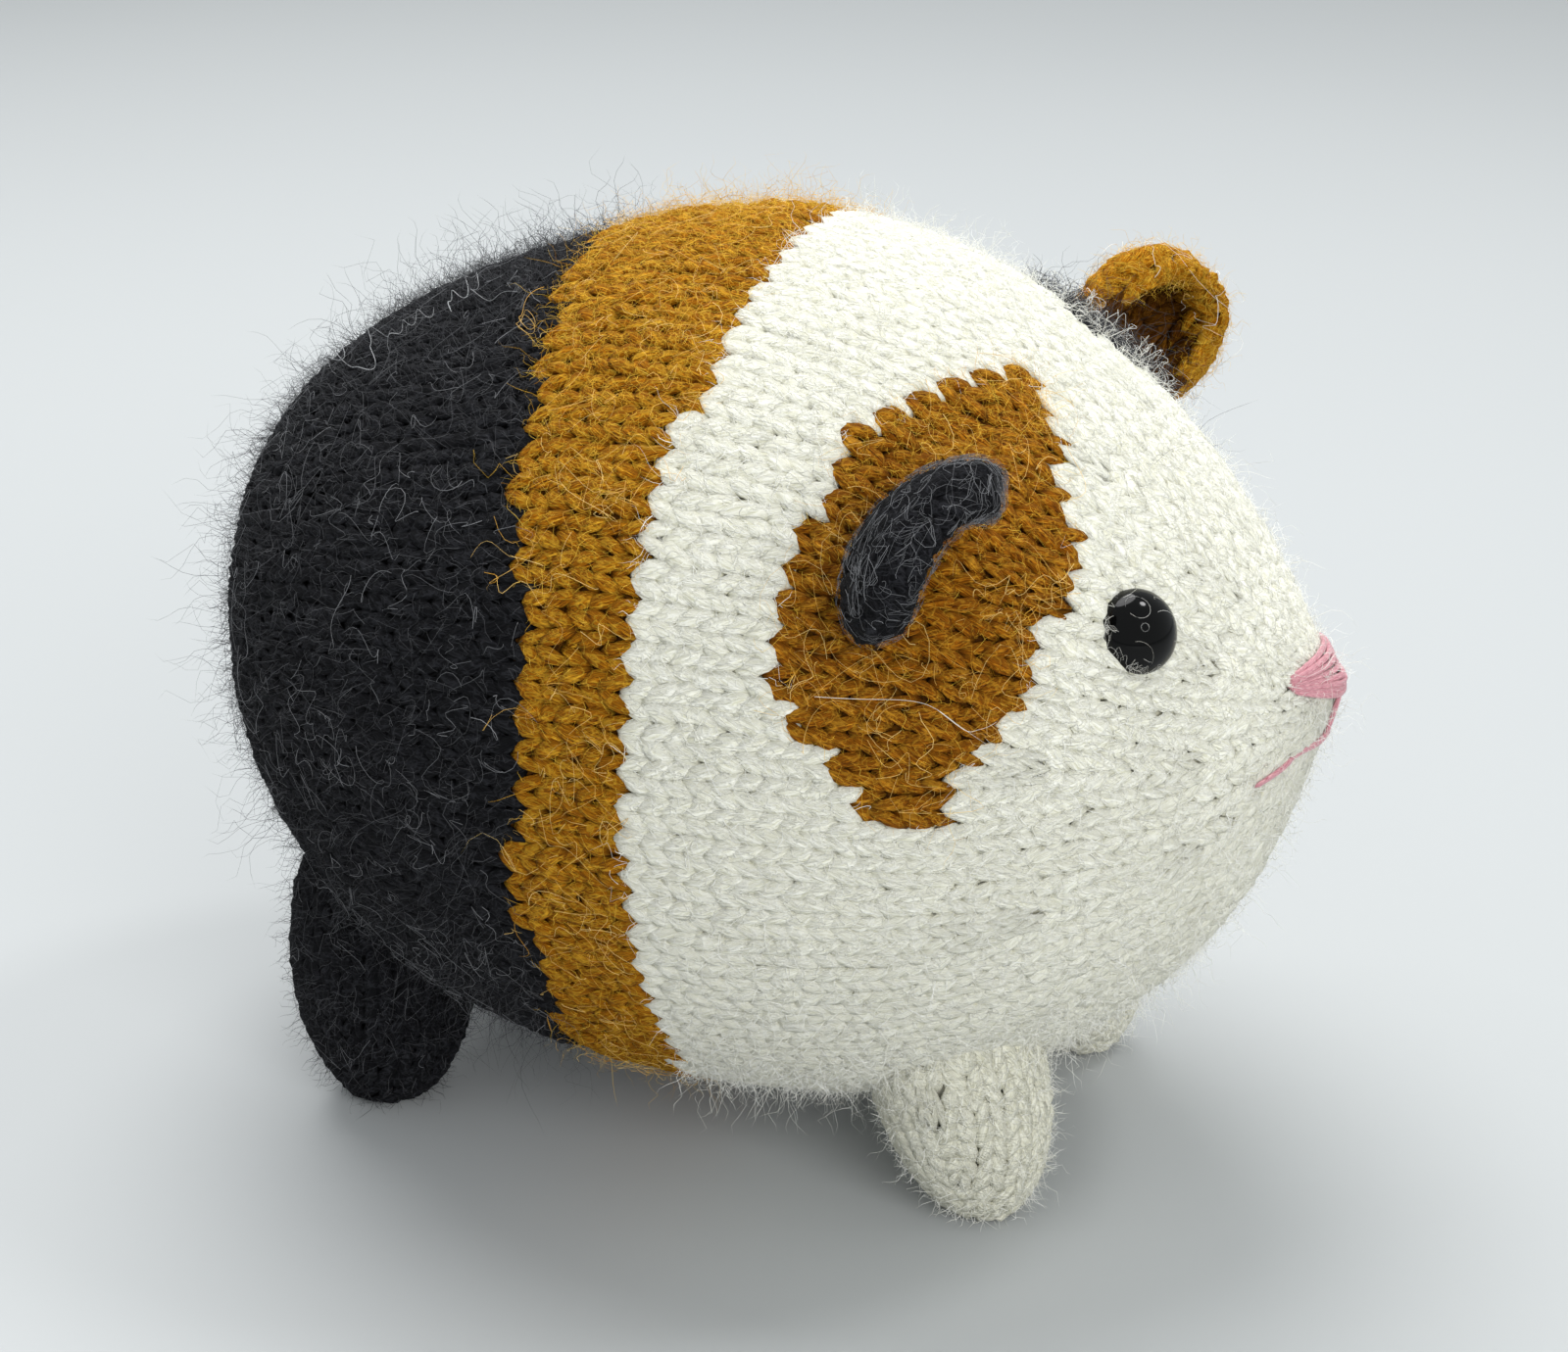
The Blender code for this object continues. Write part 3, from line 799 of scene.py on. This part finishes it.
GREY_HAIR = fibre("grey_stray_hair", (0.34, 0.35, 0.36), (0.52, 0.53, 0.54))
EAR_FIBRE = fibre("dark_ear_fibre", (0.003, 0.003, 0.003), (0.030, 0.031, 0.033))
LININGS = [
    lining("charcoal_lining", (0.004, 0.004, 0.004), (0.015, 0.015, 0.016)),
    # Painted shade: the mustard lining is far darker than the mustard yarn, standing in for shade in the gaps.
    lining("mustard_shaded_lining", (0.040, 0.012, 0.001), (0.150, 0.055, 0.002)),
    lining("white_lining", (0.74, 0.72, 0.57), (0.90, 0.88, 0.74)),
]
SLOTS = ["charcoal_wool", "mustard_wool", "white_wool"]


def add_object(name, data):
    """Put an object into the scene."""
    item = bpy.data.objects.new(name, data)
    bpy.context.scene.collection.objects.link(item)
    return item


def add_piece(name, mesh, materials, replaces=()):
    """Put a finished piece on the toy."""
    piece = add_object(name, mesh)
    for material in materials:
        mesh.materials.append(material)
    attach(piece, "root")
    if replaces:
        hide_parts(*replaces)
    return piece


def add_lining(name, surface, depth, fill, colour, slot, replaces, columns=96, rows=80):
    """Add the closed inner form of a knitted piece, its faces coloured by a function of their middles."""
    distance = np.linspace(0.0, surface.distance[-1], rows + 1)[1:-1]
    share = np.arange(columns) / columns
    point, normal = surface.sample(*np.broadcast_arrays(distance[:, None], share[None, :]))
    point = point - normal * depth
    ends = [surface.sample(surface.distance[k:k + 1], share[:1])[0][0] for k in (0, len(surface.distance) - 1)]
    tips = [ring.mean(axis=0) * 0.6 + end * 0.4 for ring, end in zip((point[0], point[-1]), ends)]
    points = np.concatenate([point.reshape(-1, 3), tips])
    points[:, 2] = np.maximum(points[:, 2], FLOOR_GAP)
    quads, triangles = closed_grid(rows - 1, columns)
    bake = pairs(share, distance[:, None] / surface.distance[-1])
    mesh = make_mesh(name, points, quads, triangles, np.concatenate([bake.reshape(-1, 2), [[0.5, 0.0], [0.5, 1.0]]]))
    piece = add_piece(name, mesh, LININGS, replaces)
    middles = np.concatenate([points[quads].mean(axis=1), points[triangles].mean(axis=1)])
    mesh.polygons.foreach_set("material_index", colour(middles).astype(np.int32))


def body_lining_colour(middle):
    _, height = body_station(middle[:, 0])
    angle = np.degrees(np.arctan2(middle[:, 2] - height, -middle[:, 1] / BODY_SIDE_RATIO))
    return chart_colour(middle[:, 0], angle)


def in_ear_cup(surface, distance, share):
    """Tell which places of an ear lie in the cup of its front, whose stitches get the darker yarn of painted shade.
    """
    along = np.interp(distance, surface.distance, surface.along)
    round_front = (share + 0.5) % 1.0 - 0.5
    side = 4 * round_front * np.sin(along)
    low = -np.cos(along) + EAR_CUP_LOW
    return (np.abs(round_front) < 0.25) & (side ** 2 + low ** 2 < EAR_CUP)


def plain(colour):
    return lambda middle: np.full(len(middle), colour)


def knit(name, fabric, index, yarn, material, relief):
    """Make a piece of the stitches named by index."""
    skein = Skein()
    add_stitches(skein, fabric, index, relief, FULLNESS[yarn])
    skein.finish(name, material, SLOTS[yarn])


FACE_FROM = 0.72  # share of the rows at which the white stitches are split into two pieces
RELIEF = [0.7, 1.4, 0.30]  # of the strands in charcoal, mustard and white
FULLNESS = [1.0, 0.97, 1.24]
EAR_RELIEF = 0.8  # of the left ear
EAR_CUP = 0.50  # size of the left ear's cup, whose stitches get the darker yarn of painted shade
EAR_CUP_LOW = 0.20  # how far it sits towards the sewn edge

# ---- Body ----
body = Surface(body_form, BODY_INSET)
body_fabric = Fabric(body, *BODY_GAUGE, GRID_TURN)
colours = body_colours(body_fabric)
add_lining("body_lining", body, *BODY_LINING, body_lining_colour, "white_wool",
           ("rump", "waist_band", "shoulders", "head"))
fold = body_fabric.rows * FACE_FROM
stitch_middle = body_fabric.middles()
ahead = stitch_middle[:, 0] > PATCH_FROM
KNIT_PIECES = [
    ("rump_knit", CHARCOAL, YARNS[CHARCOAL], colours == CHARCOAL),
    ("band_knit", MUSTARD, YARNS[MUSTARD], (colours == MUSTARD) & ~ahead),
    # The patch is knitted from the darker copy of the mustard yarn: painted shade.
    ("patch_knit", MUSTARD, PATCH_SHADE_YARN, (colours == MUSTARD) & ahead),
    ("shoulder_knit", WHITE, YARNS[WHITE], (colours == WHITE) & (body_fabric.row < fold)),
    ("face_knit", WHITE, YARNS[WHITE], (colours == WHITE) & (body_fabric.row >= fold)),
]
for name, yarn, material, chosen in KNIT_PIECES:
    knit(name, body_fabric, np.flatnonzero(chosen), yarn, material, RELIEF[yarn])

# ---- Legs and ears ----
LIMB_GRID = (48, 32)  # columns and rows of a limb's lining
LEG = (LEG_INSET, LEG_GAUGE, LEG_LINING)
EAR = (EAR_INSET, EAR_GAUGE, EAR_LINING)
LIMBS = [
    ("rear_leg_right", leg_form(REAR_LEG, -1), LEG, CHARCOAL, YARNS[CHARCOAL]),
    ("rear_leg_left", leg_form(REAR_LEG, 1), LEG, CHARCOAL, YARNS[CHARCOAL]),
    # The front legs are knitted from the darker copy of the white yarn: painted shade.
    ("front_leg_right", leg_form(FRONT_LEG, -1), LEG, WHITE, LEG_SHADE_YARN),
    ("front_leg_left", leg_form(FRONT_LEG, 1), LEG, WHITE, LEG_SHADE_YARN),
    ("ear_right", ear_form(RIGHT_EAR, EAR_AROUND), EAR, CHARCOAL, YARNS[CHARCOAL]),
    # The left ear is knitted from the brighter copy of the mustard yarn: painted light.
    ("ear_left", ear_form(LEFT_EAR, 0.5 - EAR_AROUND), EAR, MUSTARD, EAR_LIT_YARN),
]
limbs = {}
fabrics = [Fabric(Surface(form, inset), *gauge) for _, form, (inset, gauge, _), *_ in LIMBS]
for (name, _, (_, _, inner), yarn, material), fabric in zip(LIMBS, fabrics):
    add_lining(name + "_lining", fabric.surface, *inner, plain(yarn), SLOTS[yarn], (name,), *LIMB_GRID)
    outside = np.flatnonzero(~inside_body(fabric.middles(), SEAM_MARGIN))
    relief = RELIEF[yarn]
    if name == "ear_left":
        relief = EAR_RELIEF
        # The stitches in the left ear's cup are knitted from the darker cup yarn: painted shade.
        shade_cup = in_ear_cup(fabric.surface, *fabric.locate(outside, 0.5, 0.5))
        knit(name + "_cup_shade_knit", fabric, outside[shade_cup], yarn, CUP_SHADE_YARN, relief)
        outside = outside[~shade_cup]
    knit(name + "_knit", fabric, outside, yarn, material, relief)
    limbs[name] = (fabric, yarn, outside)

# ---- Fibres ----
FUZZ = 1.0  # share of the fibres that are made
FUZZ_PLANS = {
    # for the short nap and the long halo: number, length, lift, waves, radius, steps, rarity of long ones
    CHARCOAL: [(10200, (1.5, 4.5), (4, 75), (0.8, 1.6), 0.034, 3, 1.5),
               (3900, (2.5, 13.0), (15, 85), (0.8, 2.0), 0.025, 7, 1.9)],
    MUSTARD: [(4600, (1.2, 3.2), (2, 30), (0.7, 1.6), 0.026, 3, 1.5),
              (2100, (2.5, 8.0), (10, 80), (0.8, 2.4), 0.021, 7, 2.2)],
    WHITE: [(10200, (1.2, 3.6), (2, 50), (0.5, 1.6), 0.042, 3, 1.5),
            (4300, (1.8, 7.5), (10, 85), (0.7, 2.2), 0.030, 6, 2.2)],
}
FLAT_NAP = (5000, (1.2, 3.0), (0, 22), (0.5, 1.4), 0.05, 3)  # extra fibres that lie flat on the white wool
NAP_LEAN = 0.9  # spread of the short nap's headings along the rows' run, in radians
CREST_NAP = [1.6, 5.0, 1.6]  # how much more nap the back has than the sides
BELLY_NAP = 1.8  # and how much more the white belly has
BELLY_FROM = 40.0
CREST_FROM = 92.0
CREST_SPAN = 20.0
BODY_CURLS = [(1000, (2.0, 9.0), 0.034, 1.6), (520, (2.5, 11.0), 0.032, 1.6), (380, (2.5, 9.0), 0.032, 1.5)]
LIMB_HAIR = {
    # number of short and long fibres; then for the loose hairs their number, span, radius, height, points, winding
    "rear_leg": ((900, 220), (25, (2.0, 6.5), 0.030, 1.2)),
    "front_leg": ((1100, 260), (25, (2.0, 6.5), 0.030, 1.2)),
    "ear_right": ((1300, 90), (330, (1.5, 5.0), 0.024, 0.5, 16, (0.15, 0.45))),
    "ear_left": ((1800, 420), (60, (2.0, 6.5), 0.030, 1.2)),
}
LIMB_FIBRE_LENGTH = 5.0  # longest fibre of a leg or the left ear
EAR_NAP = ((1.0, 2.8), (2, 40))  # length and lift of the right ear's fibres
EAR_CURL_PULL = 0.12  # loose hairs gather towards the front of the right ear
FUZZ_NAMES = ["charcoal_fuzz", "mustard_fuzz", "white_fuzz"]
crest = np.clip((stitch_middle[:, 2] - CREST_FROM) / CREST_SPAN, 0, 1)
belly = np.clip((BELLY_FROM - stitch_middle[:, 2]) / CREST_SPAN, 0, 1)
for yarn, plans in FUZZ_PLANS.items():
    members = np.flatnonzero(colours == yarn)
    nap = 1 + CREST_NAP[yarn] * crest[members] + BELLY_NAP * belly[members] * (yarn == WHITE)
    nap = nap / nap.sum()
    for part, (number, *plan) in zip(("short", "long"), plans):
        skein = Skein()
        chosen = rng.choice(members, int(number * FUZZ), p=nap)
        add_fibres(skein, body_fabric, chosen, *plan, NAP_LEAN if part == "short" and yarn != MUSTARD else None)
        skein.finish(f"{FUZZ_NAMES[yarn]}_{part}", FIBRES[yarn], SLOTS[yarn])
    if yarn == WHITE:
        skein = Skein()
        number, *flat = FLAT_NAP
        add_fibres(skein, body_fabric, rng.choice(members, int(number * FUZZ), p=nap), *flat)
        skein.finish("white_fuzz_flat", FIBRES[WHITE], SLOTS[WHITE])
    number, *curl = BODY_CURLS[yarn]
    skein = Skein()
    add_curls(skein, body_fabric, rng.choice(members, int(number * FUZZ)), *curl)
    skein.finish(FUZZ_NAMES[yarn] + "_curls", CURL_FIBRES[yarn], SLOTS[yarn])
for name, (fabric, yarn, outside) in limbs.items():
    fine = name == "ear_right"
    numbers, (number, *curl) = next(hair for kind, hair in LIMB_HAIR.items() if name.startswith(kind))
    x = fabric.place(outside, 0.5, 0.5)[0][:, 0]
    weight = np.exp(EAR_CURL_PULL * fine * (x - x.mean()))
    skein = Skein()
    add_curls(skein, fabric, rng.choice(outside, number, p=weight / weight.sum()), *curl)
    skein.finish(name + "_curls", CURL_FIBRES[yarn], SLOTS[yarn])
    skein = Skein()
    for number, (_, length, lift, *plan) in zip(numbers, FUZZ_PLANS[yarn]):
        length, lift = EAR_NAP if fine else ((length[0], min(length[1], LIMB_FIBRE_LENGTH)), lift)
        add_fibres(skein, fabric, rng.choice(outside, int(number * FUZZ)), length, lift, *plan)
    skein.finish(name + "_fuzz", EAR_FIBRE if fine else FIBRES[yarn], SLOTS[yarn])

# ---- Loose hairs round the foot of the left ear ----
FOOT_FROM_X = 25
FOOT_TO_Y = 24
foot = np.flatnonzero((colours == CHARCOAL) & (stitch_middle[:, 0] > FOOT_FROM_X) & (stitch_middle[:, 1] < FOOT_TO_Y))
ear_fabric, _, ear_stitches = limbs["ear_left"]
skein = Skein()
add_curls(skein, body_fabric, rng.choice(foot, int(60 * FUZZ)), (2.0, 6.0), 0.036, 3.4)
add_curls(skein, ear_fabric, rng.choice(ear_stitches, int(22 * FUZZ)), (5.0, 14.0), 0.038, 2.6, 30)
skein.finish("ear_foot_hairs_pale", CURL_FIBRES[WHITE], SLOTS[WHITE])
skein = Skein()
add_curls(skein, body_fabric, rng.choice(foot, int(150 * FUZZ)), (2.0, 6.0), 0.036, 2.6)
add_fibres(skein, body_fabric, rng.choice(foot, int(260 * FUZZ)), (1.5, 4.5), (15, 80), (0.8, 2.4), 0.032, 7, 1.6)
skein.finish("ear_foot_hairs_dark", FIBRES[CHARCOAL], SLOTS[CHARCOAL])

# ---- Single stray hairs ----
# Each has its yarn, thickness, height over the wool and route, in degrees along and around.
STRAY_HAIRS = [
    ("stray_hair_patch", WHITE, 0.045, 0.9,
     [(108.2, 18.6), (112.3, 19.4), (116.7, 20.3), (119.0, 19.7), (121.7, 17.5), (124.3, 15.4)]),
    ("stray_hair_patch_fork", WHITE, 0.035, 1.0, [(119.0, 19.7), (121.8, 17.4), (123.1, 17.9), (124.6, 19.4)]),
    ("stray_hair_head", CHARCOAL, 0.030, 1.6, [(133.2, 75.7), (134.0, 84.0), (135.5, 96.0), (137.0, 103.0)]),
    ("stray_hair_rump_grey", CHARCOAL, 0.062, 1.6,
     [(32.2, 78.4), (40.4, 68.9), (43.4, 68.0), (39.7, 74.3), (37.2, 75.9), (43.4, 66.5), (48.2, 61.5), (50.9, 59.9),
      (51.6, 61.7), (48.7, 66.7), (45.5, 73.0), (47.7, 71.4), (51.5, 67.1), (52.8, 67.1), (52.5, 70.1), (54.4, 68.3),
      (53.7, 72.3), (56.3, 69.4), (56.5, 71.6)]),
    ("stray_hair_back_grey", CHARCOAL, 0.062, 1.6,
     [(59.9, 68.9), (58.4, 72.1), (57.5, 75.2), (59.6, 72.8), (59.9, 74.8), (57.6, 80.2), (58.9, 80.2), (60.9, 75.7),
      (60.4, 74.3), (63.3, 70.7), (65.5, 70.0), (68.6, 69.4)]),
    ("stray_hair_coil", MUSTARD, 0.035, 1.6,
     [(71.3, 69.4), (70.1, 66.2), (70.4, 63.7), (72.2, 61.0), (72.5, 62.6), (70.7, 64.6), (70.5, 62.4), (72.4, 60.2),
      (72.8, 61.5), (70.7, 63.8), (71.0, 61.5), (73.1, 59.3), (75.0, 56.8)]),
]


def smooth_route(stops, steps=7):
    """Return a smooth line through the stops."""
    stops = np.array(stops, dtype=float)
    padded = np.concatenate([2 * stops[:1] - stops[1:2], stops, 2 * stops[-1:] - stops[-2:-1]])
    t = np.linspace(0, 1, steps, endpoint=False)[:, None]
    parts = []
    for before, start, end, after in zip(padded, padded[1:], padded[2:], padded[3:]):
        bend = 2 * before - 5 * start + 4 * end - after + t * (3 * (start - end) + after - before)
        parts.append(start + 0.5 * t * (end - before + t * bend))
    return np.concatenate([*parts, stops[-1:]])


for name, yarn, radius, height, stops in STRAY_HAIRS:
    route = smooth_route(stops)
    along, around = np.radians(route[:, 0]), route[:, 1] / 360
    lift = height * (0.7 + 0.3 * np.sin(np.arange(len(route)) * 0.45))
    path = body_form(along, around) + form_normal(body_form, along, around) * lift[:, None]
    skein = Skein()
    add_hairs(skein, path[None], radius, around[:1], along[:1] / math.pi)
    hair = GREY_HAIR if name.endswith("grey") else CURL_FIBRES[yarn]
    skein.finish(name, hair, SLOTS[yarn])


# ---- Eyes ----
def eye_frame(along, around, sink):
    """Return an eye's centre and three directions: sideways, upwards and the way it looks."""
    along = np.array([along])
    around = np.array([around])
    normal = form_normal(body_form, along, around)[0]
    up = unit(np.array([0, 0, 1.0]) - normal * normal[2])
    return body_form(along, around)[0] + normal * (NAP - sink), (np.cross(up, normal), up, normal)


def eye_mesh(name, along, around, sink):
    """Domed eye with a flatter back, seated in the wool."""
    centre, directions = eye_frame(along, around, sink)
    rings, sides = EYE_GRID
    tilt = np.linspace(0, math.pi, rings + 2)[1:-1, None]
    turn = TURN * np.arange(sides)[None, :] / sides
    a = EYE_RADIUS * np.sin(tilt) * np.cos(turn)
    b = EYE_RADIUS * np.sin(tilt) * np.sin(turn)
    c = np.where(np.cos(tilt) > 0, EYE_DOME, EYE_BACK) * np.cos(tilt) + 0 * turn
    normal = directions[2]
    points = np.concatenate([in_frame(centre, directions, a, b, c).reshape(-1, 3),
                             [centre + normal * EYE_DOME, centre - normal * EYE_BACK]])
    quads, tips = closed_grid(rings, sides)
    return make_mesh(name, points, np.roll(quads, 1, axis=1), tips)


eye_black = eye_plastic()
for name, eye, sink, side in (("eye_right", RIGHT_EYE, EYE_SINK, -1), ("eye_left", LEFT_EYE, LEFT_EYE_SINK, 1)):
    add_piece(name + "_dome", eye_mesh(name + "_dome", *eye, sink), [eye_black], (name,))
    skein = Skein()
    add_eye_hairs(skein, body_fabric, eye, sink, EYE_HAIRS, side)
    skein.finish(name + "_hairs", CURL_FIBRES[WHITE], "white_wool")

# ---- Nose and mouth ----
THREAD_ROOM = 4000.0  # vertices that the threads' bake map has room for
THREAD_SIDES = 8
NOSE_POLE = math.pi - 0.05  # the form's normals are read no nearer to its end than this
pink = thread("pink_thread", (0.42, 0.11, 0.15), (0.78, 0.40, 0.44))


def face_place(y, z):
    """Return the points of the nose end at these sideways places and heights, and their normals."""
    low = np.full(np.shape(y), math.pi / 2)
    high = np.full(np.shape(y), math.pi - 0.012)
    for _ in range(40):
        angle = (low + high) / 2
        radius = station_value(BODY_RADIUS, angle) - NAP
        height = station_value(BODY_HEIGHT, angle)
        reach = np.hypot(y / (BODY_SIDE_RATIO * radius), (z - height) / radius)
        low = np.where(reach < np.sin(angle), angle, low)
        high = np.where(reach < np.sin(angle), high, angle)
    around = np.arctan2((z - height) / radius, -y / (BODY_SIDE_RATIO * radius)) / TURN
    normal = form_normal(body_form, np.minimum(angle, NOSE_POLE), around)
    x = -(BODY_HALF_LENGTH - NAP) * np.cos(np.minimum(angle, NOSE_POLE))
    return np.stack([x, y, z], axis=-1), normal


def lay_thread(skein, path, normal, half):
    """Lay one thread along a path (points, 3), tapered at both ends."""
    forward = unit(np.gradient(path, axis=0))
    across = unit(np.cross(forward, normal))
    out = np.cross(across, forward)
    t = np.linspace(0, 1, len(path))
    thick = half * np.sin(np.pi * (0.12 + 0.76 * t)) ** 0.35
    side = np.arange(THREAD_SIDES)
    turn = TURN * side / THREAD_SIDES
    rings = ring_points(path[1:-1], across[1:-1], out[1:-1],
                        thick[1:-1, None] * np.sin(turn), thick[1:-1, None] * np.cos(turn))
    distance = np.concatenate([[0], np.cumsum(np.linalg.norm(np.diff(path, axis=0), axis=1))])
    tag = rng.uniform(0, 300)
    yarn = pairs(distance[:, None] + tag, side * 0.5 + tag * 0.4)
    slot = skein.count / THREAD_ROOM % 1.0
    bake = pairs(0.05 + 0.9 * t[:, None], slot + 0.01 * side / THREAD_SIDES)
    skein.add(rings[None], path[:1], path[-1:], bake[None], yarn[None])


NOSE_END = (8.9, 72.7)  # side and height of the points where the nose's threads gather
NOSE_LOW = 69.5
NOSE_HIGH = 74.3
NOSE_THREADS = 8
skein = Skein()
for number in range(NOSE_THREADS):
    share = number / (NOSE_THREADS - 1)
    t = np.linspace(-1, 1, 25)
    y = NOSE_END[0] * t * (1 - 0.10 * abs(share - 0.45))
    middle = NOSE_LOW + (NOSE_HIGH - NOSE_LOW) * share
    end = NOSE_END[1] + (share - 0.5) * 1.5
    z = end + (middle - end) * (1 - np.abs(t) ** 1.7)
    point, normal = face_place(y, z)
    rise = 0.6 * (1 - t ** 6) - 0.25 + rng.normal(0, 0.10)
    lay_thread(skein, point + normal * rise[:, None], normal, rng.uniform(0.40, 0.47))
skein.finish("nose_threads", pink, "nose_thread", ("nose",))

MOUTH_TOP = 69.4
MOUTH_JOIN = 63.4
MOUTH_HALF_WIDTH = 16.5
MOUTH_DROP = 1.4
skein = Skein()
z = np.linspace(MOUTH_TOP, MOUTH_JOIN, 12)
point, normal = face_place(z * 0.0, z)
lay_thread(skein, point + normal * 0.25, normal, 0.38)
skein.finish("mouth_upright_thread", pink, "nose_thread", ("mouth_upright",))
skein = Skein()
t = np.linspace(-1, 1, 41)
point, normal = face_place(MOUTH_HALF_WIDTH * t, MOUTH_JOIN - MOUTH_DROP * t * t)
dip = 0.25 - 0.72 * np.exp(-((np.abs(t) - 0.45) / 0.18) ** 2)
lay_thread(skein, point + normal * dip[:, None], normal, 0.41)
skein.finish("mouth_smile_thread", pink, "nose_thread", ("mouth_smile",))

# ---- Stage ----
FLOOR_HALF = 4.0
floor_mesh = bpy.data.meshes.new("floor")
floor_mesh.from_pydata([(-FLOOR_HALF, -FLOOR_HALF, 0), (FLOOR_HALF, -FLOOR_HALF, 0),
                        (FLOOR_HALF, FLOOR_HALF, 0), (-FLOOR_HALF, FLOOR_HALF, 0)], [], [(0, 1, 2, 3)])
floor = add_object("floor", floor_mesh)
floor_mesh.materials.append(floor_paint())

world = bpy.data.worlds.new("studio")
world.use_nodes = True
sky = world.node_tree.nodes["Background"]
sky.inputs["Color"].default_value = (0.80, 0.84, 0.86, 1.0)
sky.inputs["Strength"].default_value = 0.68
bpy.context.scene.world = world


def add_light(name, place, target, size, power, glossy=True):
    light = bpy.data.lights.new(name, "AREA")
    light.shape = "DISK"
    light.size = size
    light.energy = power
    lamp = add_object(name, light)
    lamp.location = place
    lamp.visible_glossy = glossy
    lamp.rotation_euler = (Vector(target) - Vector(place)).to_track_quat("-Z", "Y").to_euler()


TARGET = (0.0002, 0.0, 0.0605)
add_light("overhead", (-0.24, 0.30, 0.90), TARGET, 0.75, 9.35)
add_light("front_lamp", (0.48, 0.32, 1.03), TARGET, 0.2, 2.4)
add_light("side_panel", (0.60, -0.62, 0.42), TARGET, 0.6, 5.2, glossy=False)

# ---- Camera ----
CAMERA_YAW = math.radians(20.77)
CAMERA_LIFT = math.radians(22.44)
CAMERA_DISTANCE = 0.420
direction = Vector((math.sin(CAMERA_YAW) * math.cos(CAMERA_LIFT),
                    -math.cos(CAMERA_YAW) * math.cos(CAMERA_LIFT), math.sin(CAMERA_LIFT)))
lens = bpy.data.cameras.new("camera")
lens.sensor_width = 36.0
lens.lens = 72.0
lens.clip_start = 0.01
camera = add_object("camera", lens)
camera.location = Vector(TARGET) + direction * CAMERA_DISTANCE
camera.rotation_euler = (-direction).to_track_quat("-Z", "Y").to_euler()
bpy.context.scene.camera = camera
bpy.context.scene.view_settings.view_transform = "Standard"
